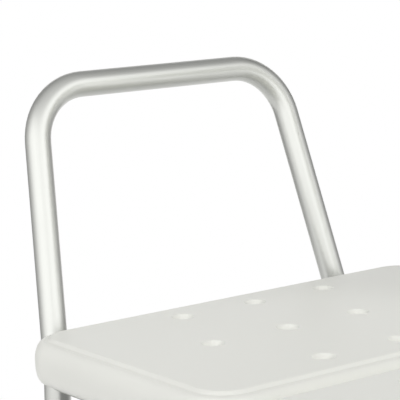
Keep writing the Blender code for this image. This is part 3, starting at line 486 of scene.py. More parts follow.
def turned(name, profile, steps=TURN_STEPS):
    """A profile of (radius, height), listed from the top down the outer side, turned about Z.

    It may start and end on the axis, or be a closed loop clear of it. The tube map holds (round, height)."""
    bm = bmesh.new()
    uv = bm.loops.layers.uv.new("tube")
    rings = []
    for radius, height in profile:
        if radius == 0:
            rings.append([bm.verts.new((0, 0, height))])
        else:
            rings.append([bm.verts.new((radius * math.cos(2 * math.pi * k / steps),
                                        radius * math.sin(2 * math.pi * k / steps), height))
                          for k in range(steps)])
    pairs = list(zip(rings, rings[1:]))
    if profile[0][0] > 0:
        pairs.append((rings[-1], rings[0]))
    for upper, lower in pairs:
        for k in range(steps):
            after = (k + 1) % steps
            corners = [upper[k % len(upper)], lower[k % len(lower)], lower[after % len(lower)],
                       upper[after % len(upper)]]
            face = bm.faces.new(list(dict.fromkeys(corners)))
            for loop in face.loops:
                angle = math.atan2(loop.vert.co.y, loop.vert.co.x)
                loop[uv].uv = (angle * max(Vector(loop.vert.co.xy).length, RIM), loop.vert.co.z)
    return mesh_from(bm, name)


def facing(direction, axis="Z"):
    """The turn that brings an axis to a direction."""
    return Vector(direction).to_track_quat(axis, "Y").to_matrix().to_4x4()


def rod(name, radius, start, end, sides=24, chamfer=0.0):
    """A solid round bar between two points, with its end edges broken."""
    run = Vector(end) - Vector(start)
    profile = [(0, run.length), (radius - chamfer, run.length)]
    if chamfer:
        profile += [(radius, run.length - chamfer), (radius, chamfer)]
    profile += [(radius - chamfer, 0), (0, 0)]
    mesh = turned(name, profile, sides)
    mesh.transform(Matrix.Translation(start) @ facing(run))
    return mesh


def hole(name, radius, middle, axis, reach):
    """A cutter for a fastener's hole through a place along X, Y or Z, reaching as far each way."""
    ends = [list(middle), list(middle)]
    ends[0]["XYZ".index(axis)] -= reach
    ends[1]["XYZ".index(axis)] += reach
    return rod(name, radius + CLEAR, *ends)


def dome(radius, edge, rise, step, last=90):
    """The profile of a dome from its top out to its edge, with a point each step of degrees."""
    angles = [math.radians(angle) for angle in range(0, last + 1, step)]
    return [(radius * math.sin(angle), edge + rise * math.cos(angle)) for angle in angles]


def groove(radius, top, depth, slope, width):
    """A groove round a profile, from its top edge down."""
    return [(radius, top), (radius - depth, top - slope), (radius - depth, top - width + slope),
            (radius, top - width)]


def eased(t):
    """A soft step from 0 to 1."""
    return t * t * (3 - 2 * t)


def bent_path(corners, radii, steps):
    """Points along straight runs, with an arc at each inner corner."""
    corners = [Vector(c) for c in corners]
    path = [corners[0]]
    for before, corner, after, radius, count in zip(corners, corners[1:], corners[2:], radii, steps):
        into = (corner - before).normalized()
        away = (after - corner).normalized()
        turn = into.angle(away)
        centre = corner + (away - into).normalized() * radius / math.cos(turn / 2)
        arm = corner - into * radius * math.tan(turn / 2) - centre
        axis = into.cross(away).normalized()
        for k in range(count + 1):
            path.append(centre + Matrix.Rotation(turn * k / count, 3, axis) @ arm)
    path.append(corners[-1])
    return path


def swept(name, path, stations):
    """A closed skin swept along a path.

    The stations are (index of a path point, shift along the path there, radius), in the order that the
    skin passes them, and the last joins the first. A radius of 0 is a point on the axis.
    The tube map holds (round, along)."""
    bm = bmesh.new()
    uv = bm.loops.layers.uv.new("tube")
    tangents = []
    for k, point in enumerate(path):
        before = path[max(k - 1, 0)]
        after = path[min(k + 1, len(path) - 1)]
        tangents.append(((after - point).normalized() + (point - before).normalized()).normalized())
    across = tangents[0].orthogonal().normalized()
    frames = []
    lengths = [0.0]
    for k, tangent in enumerate(tangents):
        if k:
            across = tangents[k - 1].rotation_difference(tangent) @ across
            lengths.append(lengths[-1] + (path[k] - path[k - 1]).length)
        across = (across - tangent * across.dot(tangent)).normalized()
        frames.append((tangent, across, tangent.cross(across)))
    rings = []
    for index, shift, radius in stations:
        tangent, side, up = frames[index]
        middle = path[index] + tangent * shift
        if radius == 0:
            rings.append(([bm.verts.new(middle)], lengths[index] + shift))
            continue
        ring = []
        for k in range(TUBE_SIDES):
            angle = 2 * math.pi * k / TUBE_SIDES
            ring.append(bm.verts.new(middle + radius * (math.cos(angle) * side + math.sin(angle) * up)))
        rings.append((ring, lengths[index] + shift))
    pairs = list(zip(rings, rings[1:]))
    if stations[0][2] > 0:
        pairs.append((rings[-1], rings[0]))
    for (first, first_along), (second, second_along) in pairs:
        for k in range(TUBE_SIDES):
            after = (k + 1) % TUBE_SIDES
            corners = {}
            for vert, place in (
                    (first[k % len(first)], (k, first_along)),
                    (first[after % len(first)], (k + 1, first_along)),
                    (second[after % len(second)], (k + 1, second_along)),
                    (second[k % len(second)], (k, second_along))):
                corners.setdefault(vert, place)
            face = bm.faces.new(list(corners))
            for loop in face.loops:
                turn, along = corners[loop.vert]
                loop[uv].uv = (turn * 2 * math.pi * TUBE_R / TUBE_SIDES, along)
    bmesh.ops.recalc_face_normals(bm, faces=bm.faces)
    return mesh_from(bm, name)


def tube(name, path, radius, wall):
    """A hollow tube along a path, open at both ends, with rounded rims."""
    last = len(path) - 1
    inner = radius - wall
    outer_run = [(k, 0.0, radius) for k in range(1, last)]
    inner_run = [(k, 0.0, inner) for k in range(last - 1, 0, -1)]
    stations = (
        [(0, 0.0, radius - RIM), (0, RIM, radius)] + outer_run
        + [(last, -RIM, radius), (last, 0.0, radius - RIM), (last, 0.0, inner + RIM), (last, -RIM, inner)]
        + inner_run + [(0, RIM, inner), (0, 0.0, inner + RIM)])
    return swept(name, path, stations)


def bar(name, path, radius):
    """A solid bar along a path, for cutters."""
    last = len(path) - 1
    stations = ([(0, 0.0, 0.0)] + [(k, 0.0, radius) for k in range(last + 1)] + [(last, 0.0, 0.0)])
    return swept(name, path, stations)


# Places on the frame

def leg_up(end):
    lean = RAIL_LEG_LEAN if end == "rail_end" else OPEN_LEG_LEAN
    return Vector((-ENDS[end] * math.sin(lean), 0, math.cos(lean)))


def leg_through(end):
    """A point of each leg's axis, in the bench's middle plane."""
    return Vector((KNEE.x, 0, KNEE.z)) if end == "rail_end" else Vector(
        (SEAT_LENGTH - OPEN_LEG_INSET, 0, SIDE_RAIL_Z))


def foot_point(end, side):
    up = leg_up(end)
    through = leg_through(end) + Vector((0, SIDES[side] * LEG_Y, 0))
    return through - up * (through.z / up.z)


def leg_matrix(end, side):
    """A leg's own frame: origin where its axis meets the floor, Z up the leg."""
    up = leg_up(end)
    return SEAT @ Matrix.Translation(foot_point(end, side)) @ Matrix.Rotation(math.atan2(up.x, up.z), 4, "Y")


def rail_path():
    """The axis of the bent tube that makes both rail-end legs and the arm rail, from its back foot."""
    up = leg_up("rail_end")
    mouth = KNEE - up * (KNEE.z / up.z - LEG_MOUTH)
    corner = Vector((
        -RAIL_OUTBOARD - RAIL_RISE * math.sin(RAIL_LEAN),
        RAIL_HALF_SPACING - RAIL_RISE * math.tan(RAIL_TAPER),
        SEAT_TOP + RAIL_RISE * math.cos(RAIL_LEAN)))
    back = [mouth, KNEE, corner]
    front = [Vector((p.x, -p.y, p.z)) for p in reversed(back)]
    return bent_path(
        back + front, (KNEE_BEND, RAIL_BEND, RAIL_BEND, KNEE_BEND),
        (KNEE_STEPS, BEND_STEPS, BEND_STEPS, KNEE_STEPS))


RAIL_PATH = rail_path()


def axis_x(end, height):
    """Where a leg's axis is along the bench, at a height."""
    up = leg_up(end)
    through = leg_through(end)
    x = through.x + up.x / up.z * (height - through.z)
    if end == "rail_end":
        for low, high in zip(RAIL_PATH, RAIL_PATH[1:]):
            if low.z <= height < high.z:
                x = low.x + (high.x - low.x) * (height - low.z) / (high.z - low.z)
    return x


def rivet_x(end):
    """Where a strut meets the side rail."""
    return axis_x(end, SIDE_RAIL_Z) - ENDS[end] * STRUT_REACH


def head_seat_x(end):
    """Where the flat under a side-rail bolt's head lies, just off the bent or leaning leg."""
    outward = ENDS[end]
    reach = max(outward * axis_x(end, SIDE_RAIL_Z + step) for step in (-BOLT_HEAD_R, 0, BOLT_HEAD_R))
    steepest = RAIL_LEAN if end == "rail_end" else OPEN_LEG_LEAN
    return outward * (reach + TUBE_R / math.cos(steepest) + GAP)


# Seat and back panels

def panel_profile(thickness, upper_roll, lower_roll, step_start, step_width):
    """(inset, height) round a panel's edge, from its bottom face up to its raised field."""
    base_top = thickness / 2 - FIELD_RISE
    widest = -FIELD_RISE / 2 + WIDEST

    def roll(reach, squareness, rise, steps):
        points = []
        for k in range(steps + 1):
            angle = math.pi / 2 * k / steps
            points.append((reach * (1 - math.cos(angle) ** (2 / squareness)),
                           widest + rise * math.sin(angle) ** (2 / squareness)))
        return points

    lower = roll(*lower_roll, -thickness / 2 - widest, 16)
    upper = roll(*upper_roll, base_top - widest, 16)
    step = [(step_start + step_width * k / 10, base_top + FIELD_RISE * eased(k / 10)) for k in range(11)]
    return lower[::-1] + upper[1:] + step


def panel_mesh(name, length, width, thickness, corner, edge):
    """A panel with rolled edges and a raised field: rings that follow its rounded outline."""
    bm = bmesh.new()
    rings = []
    for inset, height in panel_profile(thickness, *edge):
        ring = []
        turn_radius = max(corner - inset, 0.004)
        for quarter in range(4):
            sign_x = (1, -1, -1, 1)[quarter]
            sign_y = (1, 1, -1, -1)[quarter]
            middle = Vector((sign_x * (length / 2 - inset - turn_radius),
                             sign_y * (width / 2 - inset - turn_radius)))
            for k in range(CORNER_STEPS + 1):
                angle = math.radians(90 * quarter + 90 * k / CORNER_STEPS)
                ring.append(bm.verts.new((middle.x + turn_radius * math.cos(angle),
                                          middle.y + turn_radius * math.sin(angle), height)))
        rings.append(ring)
    for first, second in zip(rings, rings[1:]):
        bridge(bm, first, second)
    bm.faces.new(list(reversed(rings[0])))
    bm.faces.new(rings[-1])
    bmesh.ops.recalc_face_normals(bm, faces=bm.faces)
    return mesh_from(bm, name)


def drain_cutter(name, places):
    """Countersunk holes with rounded mouths, right through a panel."""
    top = PANEL_THICKNESS / 2
    throat = HOLE_THROAT / 2
    slope = math.atan2(HOLE_DEPTH, HOLE_MOUTH / 2 - throat)
    edge = HOLE_MOUTH / 2 + HOLE_LIP * math.tan(slope / 2)
    profile = [(0, top + 0.003), (edge + 0.0003, top + 0.003), (edge + 0.0003, top + 0.00001)]
    for k in range(7):
        turn = slope * k / 6
        profile.append((edge - HOLE_LIP * math.sin(turn), top - HOLE_LIP * (1 - math.cos(turn))))
    foot = HOLE_LIP * 0.7
    for k in range(7):
        turn = slope + (math.pi / 2 - slope) * k / 6
        profile.append((throat + foot * (1 - math.sin(turn)),
                        top - HOLE_DEPTH + foot * (math.cos(turn) - math.tan((math.pi / 2 - slope) / 2))))
    profile += [(throat, -top - 0.003), (0, -top - 0.003)]
    funnel = turned(name, profile)
    copies = []
    for x, y in places:
        copy = funnel.copy()
        copy.transform(Matrix.Translation((x, y, 0)))
        copies.append(copy)
    return joined(name, copies)


def underside_holes(thickness, screw_places, bite):
    """The vent in a panel's underside and its blind screw holes, as one cutter."""
    under = -thickness / 2
    holes = [rod("vent", VENT_R, (0, 0, under - 0.002), (0, 0, under + 0.006))]
    for x, y in screw_places:
        holes.append(rod("screw hole", SCREW_R + CLEAR, (x, y, under - 0.002), (x, y, under + bite + 2 * GAP)))
    return joined("holes", holes)


def seat_panel(cad_node, start_x, screw_xs):
    places = []
    for row, (count, pitch) in enumerate(HOLE_ROWS):
        for k in range(count):
            places.append(((row - 1) * HOLE_ROW_PITCH, (k - (count - 1) / 2) * pitch))
    panel = panel_mesh(cad_node, PANEL_LENGTH, PANEL_WIDTH, PANEL_THICKNESS, PANEL_CORNER, PANEL_EDGE)
    middle = start_x + PANEL_LENGTH / 2
    screws = [(x - middle, side * LEG_Y) for x in screw_xs for side in SIDES.values()]
    mesh = carved(panel, [drain_cutter("drains", places), underside_holes(PANEL_THICKNESS, screws, SCREW_BITE)])
    at = SEAT @ Matrix.Translation((middle, 0, SEAT_TOP - PANEL_THICKNESS / 2))
    add_piece(cad_node, mesh, "seat_plastic", at)


# Frame

def snap_holes(side, places):
    return [rod("snap hole", SNAP_HOLE_R, (x, side * INNER_R / 2, z), (x, side * 2 * TUBE_R, z))
            for x, z in places]


def leg_cutters(end, side):
    """The height holes and the two bolt holes of one outer leg, in the seat frame."""
    heights = [BUTTON_Z + (STEPS_UP - k) * HOLE_STEP for k in range(STEPS_UP + STEPS_DOWN + 1)]
    row = joined("row", snap_holes(SIDES[side], [(0, z) for z in heights]))
    row.transform(SEAT.inverted() @ leg_matrix(end, side))
    y = SIDES[side] * LEG_Y
    cross = axis_x(end, CROSS_HEIGHT)
    top = axis_x(end, SIDE_RAIL_Z)
    bolts = [hole("cross bolt hole", BOLT_R, (cross, y, CROSS_HEIGHT), "Y", 2 * TUBE_R),
             hole("rail bolt hole", BOLT_R, (top, y, SIDE_RAIL_Z), "X", 2 * TUBE_R)]
    return [row, joined("bolt holes", bolts)]


def rail_end_frame():
    mesh = tube("rail_end_frame", RAIL_PATH, TUBE_R, TUBE_WALL)
    add_piece("rail_end_frame", carved(mesh, leg_cutters("rail_end", "front") + leg_cutters("rail_end", "back")),
              "anodised_aluminium", SEAT)


def open_end_leg(side):
    up = leg_up("open_end")
    top_z = SEAT_BOTTOM - 0.003 - TUBE_R * math.sin(OPEN_LEG_LEAN)
    foot = foot_point("open_end", side)
    path = [foot + up * LEG_MOUTH, foot + up * (LEG_MOUTH + top_z / up.z) / 2, foot + up * (top_z / up.z)]
    mesh = tube("open leg", path, TUBE_R, TUBE_WALL)
    add_piece("open_end_leg_" + side, carved(mesh, leg_cutters("open_end", side)), "anodised_aluminium",
              SEAT)


def side_rail(side):
    y = SIDES[side] * LEG_Y
    start = axis_x("rail_end", SIDE_RAIL_Z)
    end = axis_x("open_end", SIDE_RAIL_Z)
    rail = rod("side rail", TUBE_R, (start, y, SIDE_RAIL_Z), (end, y, SIDE_RAIL_Z), TUBE_SIDES)
    near_leg = [p for p in RAIL_PATH if p.y * SIDES[side] > 0 and p.z < SEAT_TOP + 0.02]
    corner = Vector((-RAIL_OUTBOARD, SIDES[side] * RAIL_HALF_SPACING, SEAT_TOP))
    near_leg.insert(len(near_leg) if side == "back" else 0, corner)
    foot = foot_point("open_end", side)
    up = leg_up("open_end")
    copes = [bar("rail cope", near_leg, TUBE_R + GAP),
             bar("leg cope", [foot + up * 0.2, foot + up * 0.35, foot + up * 0.5], TUBE_R + GAP)]
    holes = [hole("screw hole", SCREW_R, (x, y, SIDE_RAIL_Z), "Z", 2 * TUBE_R) for x in SCREW_XS]
    holes += [hole("rivet hole", RIVET_R, (rivet_x(end_name), y, SIDE_RAIL_Z), "Y", 2 * TUBE_R)
              for end_name in ENDS]
    ends = rod("end bolts", BOLT_R + CLEAR, (start - 0.01, y, SIDE_RAIL_Z), (end + 0.01, y, SIDE_RAIL_Z))
    mesh = carved(rail, copes + [joined("rail holes", holes), ends])
    add_piece("side_rail_" + side, mesh, "anodised_aluminium", SEAT)


def cross_tube(end):
    x = axis_x(end, CROSS_HEIGHT)
    half = STRUT_INNER - GAP
    bore = hole("cross bore", BOLT_R, (x, 0, CROSS_HEIGHT), "Y", half + 0.002)
    mesh = rod("cross tube", CROSS_R, (x, -half, CROSS_HEIGHT), (x, half, CROSS_HEIGHT), TUBE_SIDES, RIM)
    add_piece("cross_tube_" + end, carved(mesh, [bore]), "anodised_aluminium", SEAT)


def strut(end, side):
    """A flat bar with round ends and softened edges, from the cross-tube bolt to the side rail's rivet."""
    low = Vector((axis_x(end, CROSS_HEIGHT), 0, CROSS_HEIGHT))
    high = Vector((rivet_x(end), 0, SIDE_RAIL_Z))
    run = high - low
    half = STRUT_WIDTH / 2
    bm = bmesh.new()
    outline = []
    for centre, start in ((0.0, 90), (run.length, -90)):
        for k in range(17):
            angle = math.radians(start + 180 * k / 16)
            outline.append(bm.verts.new((centre + half * math.cos(angle), half * math.sin(angle),
                                         -STRUT_THICKNESS / 2)))
    flat = bm.faces.new(outline)
    grown = bmesh.ops.extrude_face_region(bm, geom=[flat])
    bmesh.ops.translate(bm, vec=(0, 0, STRUT_THICKNESS),
                        verts=[v for v in grown["geom"] if isinstance(v, bmesh.types.BMVert)])
    bmesh.ops.recalc_face_normals(bm, faces=bm.faces)
    rim = [e for e in bm.edges if abs(e.verts[0].co.z - e.verts[1].co.z) < 0.001]
    bmesh.ops.bevel(bm, geom=rim, offset=0.0005, offset_type="OFFSET", segments=2, profile=0.5,
                    affect="EDGES")
    uv = bm.loops.layers.uv.new("tube")
    for face in bm.faces:
        for loop in face.loops:
            loop[uv].uv = (loop.vert.co.y, loop.vert.co.x)
    plate = mesh_from(bm, "strut")
    holes = [hole("bolt hole", BOLT_R, (0, 0, 0), "Z", STRUT_THICKNESS),
             hole("rivet hole", RIVET_R, (run.length, 0, 0), "Z", STRUT_THICKNESS)]
    y = SIDES[side] * (STRUT_INNER + STRUT_THICKNESS / 2)
    turn = Matrix.Rotation(-math.atan2(run.z, run.x), 4, "Y") @ Matrix.Rotation(math.pi / 2, 4, "X")
    at = SEAT @ Matrix.Translation((low.x, y, low.z)) @ turn
    add_piece(f"strut_{end}_{side}", carved(plate, [joined("strut holes", holes)]),
              "anodised_aluminium", at)


# Fasteners

def domed_head(radius, height):
    """The profile of a domed head above its flat, from the axis down to the flat's edge."""
    edge = height * 0.3
    return dome(radius, edge, height - edge, 9, 81) + [(radius, edge), (radius, 0.0002), (radius - 0.0002, 0)]


def socket_bolt(length):
    """A button-head bolt with a hex socket."""
    body = turned("bolt", domed_head(BOLT_HEAD_R, BOLT_HEAD_HEIGHT) + [
        (BOLT_R, 0), (BOLT_R, -length + 0.0006), (BOLT_R - 0.0006, -length), (0, -length)])
    socket = rod("hex", HEX_R, (0, 0, HEX_FLOOR), (0, 0, 2 * BOLT_HEAD_HEIGHT), 6)
    return carved(body, [socket])


def cross_screw(length):
    """A pan-head screw with a cross recess and a threaded shank."""
    profile = domed_head(SCREW_HEAD_R, SCREW_HEAD_HEIGHT) + [(SCREW_R, 0)]
    z = -0.004
    while z > -length + 0.003:
        profile += [(SCREW_R, z), (SCREW_R - THREAD_DEPTH, z - THREAD_PITCH / 2)]
        z -= THREAD_PITCH
    profile += [(SCREW_R - THREAD_DEPTH, -length + 0.0015), (SCREW_R * 0.5, -length), (0, -length)]
    body = turned("screw", profile, 20)
    slots = []
    for turn in (0, math.pi / 2):
        bm = block(CROSS_SLOT, SCREW_HEAD_HEIGHT)
        for vert in bm.verts:
            if vert.co.z < SCREW_HEAD_HEIGHT:
                vert.co.x *= CROSS_SLOT_FOOT
        bmesh.ops.rotate(bm, cent=(0, 0, 0), matrix=Matrix.Rotation(turn, 3, "Z"), verts=bm.verts)
        slots.append(mesh_from(bm, "slot"))
    return carved(body, slots)


def rivet(length):
    """A rivet with a domed head at each end."""
    head = domed_head(RIVET_HEAD_R, RIVET_HEAD_HEIGHT)
    tail = [(radius, -length - height) for radius, height in reversed(head)]
    return turned("rivet", head + [(RIVET_R, 0), (RIVET_R, -length)] + tail)


def pointed(location, direction):
    """The matrix of a fastener whose head looks along a direction."""
    return SEAT @ Matrix.Translation(location) @ facing(direction)


def fasteners():
    rail_bolts = {}
    for end in ENDS:
        seat_x = head_seat_x(end)
        rail_bolts[end] = (seat_x, socket_bolt(
            abs(seat_x - axis_x(end, SIDE_RAIL_Z)) + TUBE_R + END_WALL))
    cross_bolt = socket_bolt(2 * TUBE_R + STRUT_THICKNESS + 4 * GAP + END_WALL)
    pin = rivet(2 * TUBE_R + STRUT_THICKNESS + 3 * GAP)
    short_seat = SIDE_RAIL_Z - TUBE_R - GAP
    long_seat = ARM_Z - TUBE_R - GAP
    short_screw = cross_screw(SEAT_BOTTOM + SCREW_BITE - short_seat)
    long_screw = cross_screw(SEAT_BOTTOM + SCREW_BITE - long_seat)
    for side, sign in SIDES.items():
        y = sign * LEG_Y
        outside = sign * (LEG_Y + TUBE_R + GAP)
        for end, outward in ENDS.items():
            seat_x, mesh = rail_bolts[end]
            add_piece(f"side_rail_bolt_{end}_{side}", mesh, "steel",
                      pointed((seat_x, y, SIDE_RAIL_Z), (outward, 0, 0)))
            add_piece(f"cross_bolt_{end}_{side}", cross_bolt, "steel",
                      pointed((axis_x(end, CROSS_HEIGHT), outside, CROSS_HEIGHT), (0, sign, 0)))
            add_piece(f"strut_rivet_{end}_{side}", pin, "steel",
                      pointed((rivet_x(end), outside, SIDE_RAIL_Z), (0, sign, 0)))
        for number, x in enumerate(SCREW_XS, start=1):
            crossed = x in ARM_XS
            add_piece(f"seat_screw_{side}_{number}", long_screw if crossed else short_screw,
                      "steel", pointed((x, y, long_seat if crossed else short_seat), (0, 0, -1)))


# Legs and feet

def snap_button(cad_node, matrix, x, z, side):
    """A domed snap button on its spring strip."""
    strip_out = INNER_R - INNER_WALL - 0.0012
    strip_in = strip_out - STRIP[2]
    head = dome(BUTTON_R, TUBE_R + BUTTON_PROUD - BUTTON_DOME, BUTTON_DOME, 15)
    pin = turned("pin", head + [(BUTTON_R, strip_in + 0.0005), (0, strip_in + 0.0005)], 24)
    bm = block(STRIP, (strip_in + strip_out) / 2)
    bmesh.ops.bevel(bm, geom=list(bm.edges), offset=0.0002, segments=1, affect="EDGES")
    add_piece(cad_node, carved(pin, joins=[mesh_from(bm, "strip")]), "steel",
              matrix @ Matrix.Translation((x, 0, z)) @ facing((0, side, 0)))


def leg_extension(end, side):
    at = leg_matrix(end, side)
    start = FOOT_FLOOR + GAP
    path = [Vector((0, 0, start)), Vector((0, 0, (start + EXTENSION_TOP) / 2)), Vector((0, 0, EXTENSION_TOP))]
    mesh = tube("extension", path, INNER_R, INNER_WALL)
    name = f"{end}_{side}"
    add_piece("leg_extension_" + name, carved(mesh, snap_holes(SIDES[side], [(0, BUTTON_Z)])),
              "anodised_aluminium", at)
    snap_button("leg_button_" + name, at, 0, BUTTON_Z, SIDES[side])
    sleeve = TUBE_R + GAP
    outer = sleeve + COLLAR_WALL
    low = LEG_MOUTH - COLLAR_DOWN
    high = LEG_MOUTH + COLLAR_UP
    collar = [(sleeve, high), (outer - 0.0008, high), (outer, high - 0.0012)]
    collar += groove(outer, low + 0.0046, 0.0006, 0.0004, 0.0016)
    collar += [(outer, low + 0.0008), (outer - 0.0008, low), (INNER_R + GAP, low),
               (INNER_R + GAP, LEG_MOUTH - GAP), (sleeve, LEG_MOUTH - GAP)]
    add_piece("leg_collar_" + name, turned("collar", collar), "grey_plastic", at)


def foot_mouth():
    return [(0, FOOT_SOCKET), (FOOT_NECK_R - 0.001, FOOT_SOCKET), (FOOT_NECK_R, FOOT_SOCKET - 0.001)]


def socket_cutter():
    return rod("foot socket", SOCKET_R, (0, 0, FOOT_FLOOR), (0, 0, 2 * FOOT_SOCKET), TURN_STEPS)


def rubber_tip(side):
    """A flared rubber tip with ribs round its skirt, cut flat where it stands."""
    profile = foot_mouth() + groove(FOOT_NECK_R, TIP_NECK_GROOVE, 0.0007, 0.0005, 0.0025)
    profile.append((FOOT_NECK_R, FLARE_TOP + 0.001))
    for k in range(9):
        profile.append((FOOT_NECK_R + (TIP_R - FOOT_NECK_R) * eased(k / 8), FLARE_TOP - FLARE_HEIGHT * k / 8))
    for top in TIP_GROOVES:
        profile += groove(TIP_R, top, 0.0006, 0.0004, 0.0014)
    profile += [(TIP_R, -TIP_BELOW), (0, -TIP_BELOW)]
    at = leg_matrix("open_end", side)
    floor_block = mesh_from(block((4 * TIP_R, 4 * TIP_R, 4 * TIP_R), -2 * TIP_R), "below floor")
    foot = foot_point("open_end", side)
    floor_block.transform(at.inverted() @ SEAT @ Matrix.Translation(foot))
    mesh = carved(turned("tip", profile), [socket_cutter(), floor_block])
    add_piece("rubber_tip_" + side, mesh, "grey_rubber", at)


def suction_foot(side):
    """A dished cup on the floor under a ribbed neck round the leg."""
    shoulder = FOOT_NECK_R + 0.0012
    outer = [(0, CUP_TOP)]
    for k in range(9):
        outer.append((shoulder + (CUP_R - shoulder) * k / 8,
                      CUP_TOP - (CUP_TOP - CUP_EDGE) * (1 - (1 - k / 8) ** CUP_CURVE)))
    dish = [(CUP_R, 0.0006), (CUP_R - 0.0006, 0), (CUP_R - 0.004, 0), (CUP_R - 0.0075, CUP_HOLLOW * 0.55),
            (CUP_R - 0.013, CUP_HOLLOW), (0, CUP_HOLLOW)]
    cup = turned("cup", outer + dish, CUP_STEPS)
    ribs = foot_mouth()
    for top in NECK_GROOVES:
        ribs += groove(FOOT_NECK_R, top, 0.0008, 0.0005, 0.0020)
    ribs += [(FOOT_NECK_R, CUP_TOP - 0.002), (0, CUP_TOP - 0.002)]
    neck = turned("neck", ribs)
    at = leg_matrix("rail_end", side)
    upright = SEAT @ Matrix.Translation(foot_point("rail_end", side))
    lean = upright.inverted() @ at
    neck.transform(lean)
    socket = socket_cutter()
    socket.transform(lean)
    add_piece("suction_foot_" + side, carved(cup, [socket], [neck]), "grey_rubber", upright)


# Backrest

def backrest_arm(label, x):
    up = Vector((0, math.sin(BACK_LEAN), math.cos(BACK_LEAN)))
    corner = Vector((x, BACK_ARM_Y, ARM_Z))
    front = Vector((x, -LEG_Y - ARM_FRONT_END, ARM_Z))
    path = bent_path([front, corner, corner + up * ARM_MOUTH], (ARM_BEND,), (BEND_STEPS,))
    cuts = [hole("screw hole", SCREW_R, (x, sign * LEG_Y, ARM_Z), "Z", 2 * TUBE_R) for sign in SIDES.values()]
    button = snap_holes(1, [(0, BACK_BUTTON_Z)])[0]
    button.transform(Matrix.Translation(corner) @ Matrix.Rotation(-BACK_LEAN, 4, "X"))
    mesh = carved(tube("arm", path, TUBE_R, TUBE_WALL), [joined("screw holes", cuts), button])
    add_piece("backrest_arm_" + label, mesh, "anodised_aluminium", SEAT)

    plug = TUBE_R - TUBE_WALL - GAP
    cap = dome(TUBE_R, GAP + CAP_RIM, CAP_LIP - CAP_RIM, 10) + [(TUBE_R, GAP), (plug, GAP)]
    cap += groove(plug, -0.0035, 0.0006, 0.0005, 0.0030)
    cap += [(plug, 0.001 - CAP_REACH), (plug - 0.001, -CAP_REACH), (0, -CAP_REACH)]
    add_piece("arm_cap_" + label, turned("cap", cap), "grey_plastic", pointed(front, (0, -1, 0)))


def backrest():
    middle = SEAT_LENGTH / 2
    axis = SEAT @ Matrix.Translation((middle, BACK_ARM_Y, ARM_Z)) @ Matrix.Rotation(-BACK_LEAN, 4, "X")
    half = BACK_SPACING / 2
    panel_z = BACK_RISE - INNER_R - BACK_PANEL_TOP_GAP - BACK_PANEL_HEIGHT / 2
    panel_y = -(INNER_R + GAP + BACK_PANEL_THICKNESS / 2)
    path = bent_path([(-half, 0, POST_FOOT), (-half, 0, BACK_RISE), (half, 0, BACK_RISE), (half, 0, POST_FOOT)],
                     (BACK_BEND, BACK_BEND), (BEND_STEPS, BEND_STEPS))
    cuts = snap_holes(1, [(-half, BACK_BUTTON_Z), (half, BACK_BUTTON_Z)])
    cuts += [hole("screw hole", SCREW_R, (x, 0, panel_z), "Y", 2 * INNER_R) for x in (-half, half)]
    mesh = carved(tube("posts", path, INNER_R, INNER_WALL), [joined("post holes", cuts)])
    add_piece("backrest_frame", mesh, "anodised_aluminium", axis)

    screw = cross_screw(2 * INNER_R + 2 * GAP + BACK_SCREW_BITE)
    for x, label, arm_x in zip((-half, half), ENDS, ARM_XS):
        backrest_arm(label, arm_x)
        snap_button("back_button_" + label, axis, x, BACK_BUTTON_Z, 1)
        add_piece("back_screw_" + label, screw, "steel",
                  axis @ Matrix.Translation((x, INNER_R + GAP, panel_z)) @ facing((0, 1, 0)))

    panel = panel_mesh("back panel", BACK_PANEL_WIDTH, BACK_PANEL_HEIGHT, BACK_PANEL_THICKNESS,
                       BACK_PANEL_CORNER, BACK_PANEL_EDGE)
    holes = underside_holes(BACK_PANEL_THICKNESS, [(-half, 0), (half, 0)], BACK_SCREW_BITE)
    at = axis @ Matrix.Translation((0, panel_y, panel_z)) @ Matrix.Rotation(math.pi / 2, 4, "X")
    add_piece("backrest_panel", carved(panel, [holes]), "seat_plastic", at)


# Studio: camera, floor, background and lamps

CAMERA_LENS = 149.273           # for a sensor of 36 mm
CAMERA_TURN = (0.946849, 0.160714, -0.039262)   # yaw, downward pitch and roll, in radians
CAMERA_PLACE = (1.292600, -0.955850, SEAT_TOP + 0.355670)
CAMERA_SIDE = 35.775            # degrees from the camera's side round to the bench's length
AMBIENT = 0.40
FLOOR_R = 60.0
FLOOR_WHITE = (0.6, 1.5, 0.45)  # from where to where the floor turns white, and how white it starts

# Degrees from the camera's side, distance and height, then the width, height and brightness of the face
SOFTBOXES = (
    ("softbox_left", (-60, 2.0, 1.5), (2.0, 1.4, 3.1)), ("softbox_right", (45, 4.5, 3.4), (3.0, 2.0, 8.2)),
    ("softbox_back", (150, 3.5, 2.6), (2.5, 2.0, 0.8)))


def add_camera():
    """The photograph's viewpoint, with no lens shift and everything in focus."""
    camera = bpy.data.cameras.new("camera")
    camera.sensor_width = 36.0
    camera.lens = CAMERA_LENS
    camera.clip_end = 100.0
    obj = new_object(camera)
    yaw, pitch, roll = CAMERA_TURN
    ahead = Vector((-math.sin(yaw) * math.cos(pitch), math.cos(yaw) * math.cos(pitch), -math.sin(pitch)))
    right = Vector((math.cos(yaw), math.sin(yaw), 0))
    up = right.cross(ahead)
    turned_right = math.cos(roll) * right + math.sin(roll) * up
    turned_up = math.cos(roll) * up - math.sin(roll) * right
    turn = Matrix((turned_right, turned_up, -ahead)).transposed().to_4x4()
    obj.matrix_world = SEAT @ Matrix.Translation(CAMERA_PLACE) @ turn
    bpy.context.scene.camera = obj


def seen_directly(tree):
    """1 for camera, glossy and transmission rays, which see the white background, and 0 for the rest."""
    rays = node(tree, "ShaderNodeLightPath")
    first = maths(tree, "MAXIMUM", rays.outputs["Is Camera Ray"], rays.outputs["Is Glossy Ray"])
    return maths(tree, "MAXIMUM", first, rays.outputs["Is Transmission Ray"])


